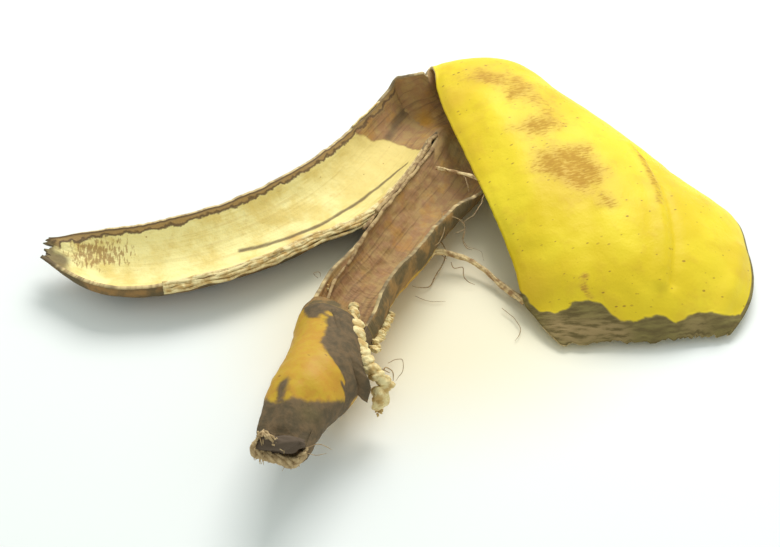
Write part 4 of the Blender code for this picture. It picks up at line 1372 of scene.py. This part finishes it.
class PEEL_OT_pulp(bpy.types.Operator):
    """Leave torn bits of pulp along the mouth of the neck and on the long front edge"""
    bl_idname = "peel.pulp"
    bl_label = "Pulp"

    def execute(self, context):
        settings = context.scene.peel_pulp
        bm = bmesh.new()
        for k, (x, y, z, reach) in enumerate(FLUFF_PLACES):
            add_fluff(bm, (x, y, z), reach, settings.fibres_per_clump, settings.fibre_radius, 11 + k)
        rope = resample([lump[:3] for lump in PULP_LUMPS], 0.5)
        radii = 1.35 + 0.3 * wander(np.arange(len(rope)) * 0.5, 70.0, 3.0)
        add_tube(bm, kink(rope, 4.0, 0.5, 8.0), radii, sides=10)
        for k, (x, y, z, *radii) in enumerate(PULP_LUMPS):
            add_lump(bm, (x, y, z), radii, 0.34, 3.0 + k)
        self.add_flakes(bm)
        outward(bm)
        cream = plain_material("pulp", settings.pulp_light, settings.pulp_dark, 0.8, 2.4, 0.3)
        fluff = add_object("pulp_fluff", bm, [cream])
        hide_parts("peel")
        self.add_lip(settings, cream)
        self.add_flap(context.scene.peel_skin)
        return {"FINISHED"}

    def add_flakes(self, bm):
        """Small plates of dry pith that lift off the right rim."""
        rng = np.random.default_rng(FLAKE_SEED)
        spine = resample(FLAKE_LINE, 15.0 / FLAKE_COUNT)
        heading = spine[-1] - spine[0]
        heading /= np.linalg.norm(heading)
        out = np.cross(heading, [0.0, 0.0, 1.0])
        out /= np.linalg.norm(out)
        up = np.cross(out, heading)
        for k, place in enumerate(spine):
            tilt = rng.uniform(-0.5, 0.5)
            axes = np.stack([out * math.cos(tilt) + heading * math.sin(tilt),
                             heading * math.cos(tilt) - out * math.sin(tilt), up], axis=1)
            size = (rng.uniform(1.1, 1.9), rng.uniform(0.32, 0.55), rng.uniform(0.5, 0.9))
            spot = place + rng.normal(0.0, 0.25, 3)
            add_lump(bm, spot, size, 0.5, 30.0 + k, axes)

    def add_flap(self, skin):
        """Dark torn flap of skin that stands off the neck beside its mouth."""
        root, edge = resample(FLAP_ROOT, 0.45), np.array(FLAP_EDGE, float)
        t = np.linspace(0.0, 1.0, len(root))
        knots = np.linspace(0.0, 1.0, len(edge))
        edge = np.stack([np.interp(t, knots, edge[:, k]) for k in range(3)], axis=1)
        edge = kink(edge, 3.0, 0.7, 17.0)
        columns = 16
        w = np.linspace(0.0, 1.0, columns)[None, :, None]
        lift = np.cross(np.gradient(root, axis=0), edge - root)
        lift /= np.linalg.norm(lift, axis=1)[:, None]
        lift *= np.sign(lift[:, 2:3])
        bulge = 1.3 * np.sin(math.pi * w) - 1.8 * (1 - w)
        grid = root[:, None] * (1.0 - w) + edge[:, None] * w + lift[:, None] * bulge
        run = np.linspace(*FLAP_ALONG, len(root))[:, None] + np.zeros(grid.shape[:2])
        side = np.linspace(*FLAP_SIDE, columns)[None, :] + np.zeros(grid.shape[:2])
        bm = bmesh.new()
        add_grid(bm, (grid, run, side, MIDDLE), value_layers(bm))
        for vert in bm.verts:
            vert.co = Vector(to_model(vert.co))
        bm.normal_update()
        if sum(face.normal.z for face in bm.faces) < 0.0:
            bmesh.ops.reverse_faces(bm, faces=bm.faces[:])
        materials = [outside_material(skin), rim_material(skin)]
        obj = add_object("mouth_flap", bm, materials)
        count = len(obj.data.vertices)
        amounts = {"dry": 1.0, "inner": 0.9, "rim": 6.0, "narrow": 1.0}
        for name in PAINTED:
            float_attribute(obj.data, name, np.full(count, amounts.get(name, 0.0)))
        solid = obj.modifiers.new("thickness", "SOLIDIFY")
        solid.thickness = FLAP_THICKNESS
        solid.offset = -1.0
        solid.use_rim = True
        solid.material_offset_rim = 1
        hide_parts("peel")

    def add_lip(self, settings, cream):
        """Frayed pale cord of pith along the front torn edge of the long petal."""
        points, along, _, _ = petal_grids()[LEFT]
        edge = points[:, 0]
        inner = points[:, 3]
        rng = np.random.default_rng(settings.seed)
        bm = bmesh.new()
        keep = np.where((along[:, 0] > settings.lip_from) & (along[:, 0] < settings.lip_to))[0]
        spine = edge[keep] + (inner[keep] - edge[keep]) * 0.15
        out = (edge[keep] - inner[keep]) * np.array([1.0, 1.0, 0.0])
        out /= np.linalg.norm(out, axis=1)[:, None]
        for cord in range(PITH_CORDS):
            shift = out * (0.6 * cord - 0.5) + np.array([0.0, 0.0, 0.3 - 0.11 * cord * cord])
            line = kink(resample(spine + shift, 0.8), 5.0, 0.6, 9.0 + 3.0 * cord)
            radii = settings.lip_radius * (0.85 + 0.35 * wander(np.arange(len(line)) * 0.8, 40.0 + cord, 3.0))
            add_tube(bm, line, np.clip(radii, 0.12, 2.0), sides=8, flat=0.8)
        for _ in range(settings.frays):
            k = int(rng.integers(4, len(spine) - 8))
            start = spine[k]
            run = spine[min(k + 6, len(spine) - 1)] - spine[k]
            length = rng.uniform(1.5, 5.0)
            run = run / (np.linalg.norm(run) + 1e-9)
            drop = np.array([0.0, -1.0, 0.0]) * rng.uniform(-0.1, 0.55)
            drop = drop + np.array([0.0, 0.0, 1.0]) * rng.uniform(-0.2, 0.4)
            path = [start + run * length * s + drop * length * 0.5 * s * s for s in np.linspace(0, 1, 6)]
            radius = rng.uniform(0.12, 0.3)
            line = kink(path, 2.0, 0.3, rng.uniform(0, 30))
            add_tube(bm, line, radius * np.array(PITH_TAPER), sides=5)
        thread = resample(PALE_THREAD, 0.6)
        add_tube(bm, kink(thread, 3.0, 0.3, 2.0), np.full(len(thread), PALE_THREAD_RADIUS))
        outward(bm)
        obj = add_object("pith_edge", bm, [cream])
        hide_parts("peel")
        bm = bmesh.new()
        for k, (path, radius) in enumerate(TORN_CORDS):
            line = kink(resample(path, 0.6), 4.0, 0.5, 60.0 + 4.0 * k)
            radii = radius * (0.9 + 0.4 * wander(np.arange(len(line)) * 0.6, 50.0 + k, 3.0))
            add_tube(bm, line, radii, sides=8, flat=0.8)
        outward(bm)
        tan = plain_material("torn cords", settings.cord_light, settings.cord_dark, 0.85, 2.6, 0.3)
        cords = add_object("torn_cords", bm, [tan])
        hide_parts("peel")


# Stage

class PEEL_OT_stage(bpy.types.Operator):
    """Set the table, the soft light and the camera"""
    bl_idname = "peel.stage"
    bl_label = "Stage"

    def execute(self, context):
        settings = context.scene.peel_stage
        bm = bmesh.new()
        bmesh.ops.create_grid(bm, x_segments=1, y_segments=1, size=settings.table_size)
        mesh = bpy.data.meshes.new("table")
        bm.to_mesh(mesh)
        bm.free()
        mesh.materials.append(table_material(settings))
        table = bpy.data.objects.new("table", mesh)
        context.scene.collection.objects.link(table)
        self.add_lights(context, settings)
        self.add_camera(context)
        return {"FINISHED"}

    def add_lights(self, context, settings):
        """One wide soft light above and behind, and an even white surround."""
        lamp = bpy.data.lights.new("window", "AREA")
        lamp.shape = "RECTANGLE"
        lamp.size = settings.window_width
        lamp.size_y = settings.window_depth
        lamp.energy = settings.window_power
        lamp.color = settings.window_colour[:3]
        obj = bpy.data.objects.new("window", lamp)
        context.scene.collection.objects.link(obj)
        place = Vector(settings.window_place)
        obj.location = place
        obj.rotation_euler = (-place).to_track_quat("-Z", "Y").to_euler()
        world = bpy.data.worlds.new("surround")
        context.scene.world = world
        world.use_nodes = True
        back = world.node_tree.nodes["Background"]
        back.inputs["Color"].default_value = settings.surround
        back.inputs["Strength"].default_value = settings.surround_strength
        context.scene.view_settings.view_transform = "Standard"

    def add_camera(self, context):
        """Camera in front of the peel, looking down at it."""
        lens = bpy.data.cameras.new("camera")
        lens.lens = CAMERA_LENS
        lens.sensor_width = SENSOR_WIDTH
        lens.clip_start = 0.01
        rise = math.radians(CAMERA_RISE)
        away = np.array([0.0, -math.cos(rise), math.sin(rise)]) * CAMERA_DISTANCE
        obj = bpy.data.objects.new("camera", lens)
        context.scene.collection.objects.link(obj)
        obj.location = Vector(to_model(away))
        aim = Vector(to_model(np.zeros(3))) - obj.location
        obj.rotation_euler = aim.to_track_quat("-Z", "Y").to_euler()
        context.scene.camera = obj


# Settings, panel and run

def colour_setting(name, words, value):
    """A colour shown in the panel."""
    return FloatVectorProperty(name=name, description=words, default=(*value, 1.0), size=4, subtype="COLOR",
                               min=0.0, max=1.0)


def length_setting(name, words, value):
    """A length in metres shown in the panel."""
    return FloatProperty(name=name, description=words, default=value, unit="LENGTH", subtype="DISTANCE")


def number_setting(name, words, value):
    """A plain number shown in the panel."""
    return FloatProperty(name=name, description=words, default=value)


def count_setting(name, words, value):
    """A whole number shown in the panel."""
    return IntProperty(name=name, description=words, default=value)


def place_setting(name, words, value):
    """A place or size in metres shown in the panel."""
    return FloatVectorProperty(name=name, description=words, default=value, size=3, subtype="XYZ",
                               unit="LENGTH")


class PEEL_skin_settings(bpy.types.PropertyGroup):
    """Settings of the skin"""
    thickness: length_setting("Thickness", "Thickness of the skin", 0.0024)
    edge_share: number_setting("Edge Share", "Thickness left at a torn edge", 0.5)
    edge_band: number_setting("Edge Band", "Millimetres over which the skin thins", 4.0)
    yellow_light: colour_setting("Light Yellow", "Palest yellow of the outside", (0.85, 0.66, 0.026))
    yellow_deep: colour_setting("Deep Yellow", "Deeper yellow of the outside", (0.77, 0.56, 0.016))
    yellow_warm: colour_setting("Warm Yellow", "Patches of bruised yellow", (0.68, 0.43, 0.025))
    orange: colour_setting("Orange", "Orange tint at old edges", (0.55, 0.27, 0.03))
    bruise_light: colour_setting("Light Bruise", "Soft light bruise", (0.58, 0.32, 0.045))
    bruise_dark: colour_setting("Dark Bruise", "Scratched brown of a bruise", (0.38, 0.17, 0.03))
    freckle: colour_setting("Freckle", "Brown freckles", (0.34, 0.17, 0.02))
    neck_yellow: colour_setting("Neck Yellow", "Deeper yellow of the neck", (0.50, 0.28, 0.03))
    neck_dark: colour_setting("Dark Neck", "Dark patches of the neck", (0.155, 0.105, 0.06))
    stalk: colour_setting("Stalk", "Darkest dry skin", (0.085, 0.065, 0.045))
    olive: colour_setting("Olive", "Olive patches of the dry stalk", (0.19, 0.145, 0.065))
    band_dark: colour_setting("Band Dark", "Dark band under a torn edge", (0.14, 0.10, 0.046))
    band_orange: colour_setting("Band Orange", "Orange brown of that band", (0.34, 0.19, 0.065))
    skirt: colour_setting("Skirt", "Dark torn skirt of the folded petal", (0.14, 0.10, 0.036))
    skirt_green: colour_setting("Skirt Green", "Greener part of the skirt", (0.25, 0.20, 0.065))
    cream: colour_setting("Cream", "Palest inside", (0.90, 0.80, 0.38))
    cream_deep: colour_setting("Deep Cream", "Deeper inside", (0.76, 0.60, 0.21))
    tan: colour_setting("Tan", "Tan fibres of the inside", (0.60, 0.42, 0.15))
    dash: colour_setting("Dashes", "Brown dashes near the tip", (0.32, 0.155, 0.05))
    brown_light: colour_setting("Light Browned", "Light part of the browned inside", (0.43, 0.275, 0.11))
    brown_pink: colour_setting("Pink Browned", "Pink part of the browned inside", (0.37, 0.205, 0.095))
    brown_dark: colour_setting("Dark Browned", "Dark wrinkles of the browned inside", (0.13, 0.08, 0.045))
    brown_deep: colour_setting("Deep Brown", "Driest part of the inside", (0.13, 0.085, 0.045))
    root_pale: colour_setting("Pale Root", "Pale patch near the fold", (0.50, 0.39, 0.18))
    rim_cream: colour_setting("Edge Cream", "Pale fibres of a torn edge", (0.66, 0.50, 0.24))
    rim_tan: colour_setting("Edge Tan", "Tan fibres of a torn edge", (0.38, 0.26, 0.12))
    rim_dark: colour_setting("Edge Dark", "Dark dry torn edge", (0.12, 0.08, 0.04))


class PEEL_core_settings(bpy.types.PropertyGroup):
    """Settings of the stalk's core"""
    fibres: count_setting("Fibres", "Loose fibres round the broken end", 60)
    fray: number_setting("Fray", "Millimetres the fibres stand out", 2.6)
    cords: count_setting("Cords", "Cords of fibre in each lip", 5)
    twist: number_setting("Twist", "Turns of the cords along a lip", 1.4)
    lip_radius: number_setting("Lip Radius", "Radius of the lower lip in millimetres", 1.15)
    tan_from: number_setting("Pale From", "Place along the petal where the core turns pale", 170.0)
    seed: count_setting("Seed", "Arrangement of the fibres", 4)
    dark: colour_setting("Dark", "Dark dry core", (0.14, 0.10, 0.065))
    # Painted shade in the gaps between the fibres
    deep: colour_setting("Deep", "Gaps between the fibres", (0.08, 0.05, 0.03))
    pale: colour_setting("Pale", "Pale broken fibres", (0.58, 0.42, 0.22))
    fibre_dark: colour_setting("Fibre Dark", "Shade of the broken fibres", (0.34, 0.22, 0.10))


class PEEL_strand_settings(bpy.types.PropertyGroup):
    """Settings of the loose strands"""
    strand_radius: number_setting("Strand Radius", "Radius of the thick strand in millimetres", 1.1)
    cords: count_setting("Cords", "Cords in the thick strand", 4)
    twist: number_setting("Twist", "Turns of the cords along the strand", 1.1)
    strand_light: colour_setting("Strand Light", "Pale part of the thick strand", (0.78, 0.60, 0.30))
    strand_dark: colour_setting("Strand Dark", "Brown part of the thick strand", (0.36, 0.20, 0.08))
    hair_light: colour_setting("Fibre Light", "Light part of the fine fibres", (0.44, 0.30, 0.14))
    hair_dark: colour_setting("Fibre Dark", "Dark part of the fine fibres", (0.24, 0.14, 0.06))


class PEEL_pulp_settings(bpy.types.PropertyGroup):
    """Settings of the torn pulp"""
    fibres_per_clump: count_setting("Fibres", "Fibres in each clump", 26)
    fibre_radius: number_setting("Fibre Radius", "Radius of a fibre in millimetres", 0.35)
    lip_from: number_setting("Lip From", "Where the pith edge starts along the petal", 40.0)
    lip_to: number_setting("Lip To", "Where the pith edge ends along the petal", 118.0)
    lip_radius: number_setting("Lip Radius", "Radius of the pith edge in millimetres", 0.7)
    frays: count_setting("Frays", "Loose ends on the pith edge", 70)
    seed: count_setting("Seed", "Arrangement of the frays", 6)
    pulp_light: colour_setting("Pulp Light", "Pale pulp", (0.84, 0.70, 0.36))
    pulp_dark: colour_setting("Pulp Dark", "Browned pulp", (0.56, 0.36, 0.12))
    cord_light: colour_setting("Cord Light", "Pale torn cords", (0.50, 0.35, 0.16))
    cord_dark: colour_setting("Cord Dark", "Brown torn cords", (0.24, 0.14, 0.06))


class PEEL_stage_settings(bpy.types.PropertyGroup):
    """Settings of the table, light and camera"""
    table_size: length_setting("Table Size", "Half width of the table", 3.0)
    table: colour_setting("Table", "Colour of the table", (0.85, 0.865, 0.855))
    # Painted warm shade and bounce light from the peel, laid on the table as a tint of its colour
    table_painted_bounce: colour_setting("Table Glow", "Warm tint the peel throws on the table", (0.86, 0.79, 0.60))
    painted_bounce_place: place_setting("Glow Place", "Middle of the warm tint", (0.012, -0.012, 0.0))
    painted_bounce_size: place_setting("Glow Size", "Length and depth of the warm tint", (0.17, 0.15, 0.0))
    window_width: length_setting("Light Width", "Width of the soft light", 0.5)
    window_depth: length_setting("Light Depth", "Depth of the soft light", 0.4)
    window_power: number_setting("Light Power", "Strength of the soft light in watts", 5.8)
    window_colour: colour_setting("Light Colour", "Colour of the soft light", (1.0, 0.99, 0.97))
    window_place: place_setting("Light Place", "Where the soft light hangs", (0.16, 0.52, 0.60))
    surround: colour_setting("Surround", "Colour of the surround", (0.92, 1.0, 0.96))
    surround_strength: number_setting("Surround Strength", "Brightness of the surround", 0.72)


class PEEL_PT_panel(bpy.types.Panel):
    """Panel with one button for each part of the peel"""
    bl_idname = "PEEL_PT_panel"
    bl_label = "Banana Peel"
    bl_space_type = "VIEW_3D"
    bl_region_type = "UI"
    bl_category = "Peel"

    def draw(self, context):
        for operator in OPERATORS:
            self.layout.operator(operator.bl_idname)


OPERATORS = (PEEL_OT_skin, PEEL_OT_core, PEEL_OT_strands, PEEL_OT_pulp, PEEL_OT_stage)
SETTINGS = {
    "peel_skin": PEEL_skin_settings,
    "peel_core": PEEL_core_settings,
    "peel_strands": PEEL_strand_settings,
    "peel_pulp": PEEL_pulp_settings,
    "peel_stage": PEEL_stage_settings,
}


def register():
    """Register the settings, operators and panel."""
    for name, group in SETTINGS.items():
        bpy.utils.register_class(group)
        setattr(bpy.types.Scene, name, bpy.props.PointerProperty(type=group))
    for item in (*OPERATORS, PEEL_PT_panel):
        bpy.utils.register_class(item)


def unregister():
    """Remove everything that register added."""
    for item in reversed((*OPERATORS, PEEL_PT_panel)):
        bpy.utils.unregister_class(item)
    for name, group in SETTINGS.items():
        delattr(bpy.types.Scene, name)
        bpy.utils.unregister_class(group)


def main():
    """Build the peel and its stage."""
    register()
    bpy.ops.peel.skin()
    bpy.ops.peel.core()
    bpy.ops.peel.strands()
    bpy.ops.peel.pulp()
    bpy.ops.peel.stage()


if __name__ == "__main__":
    main()
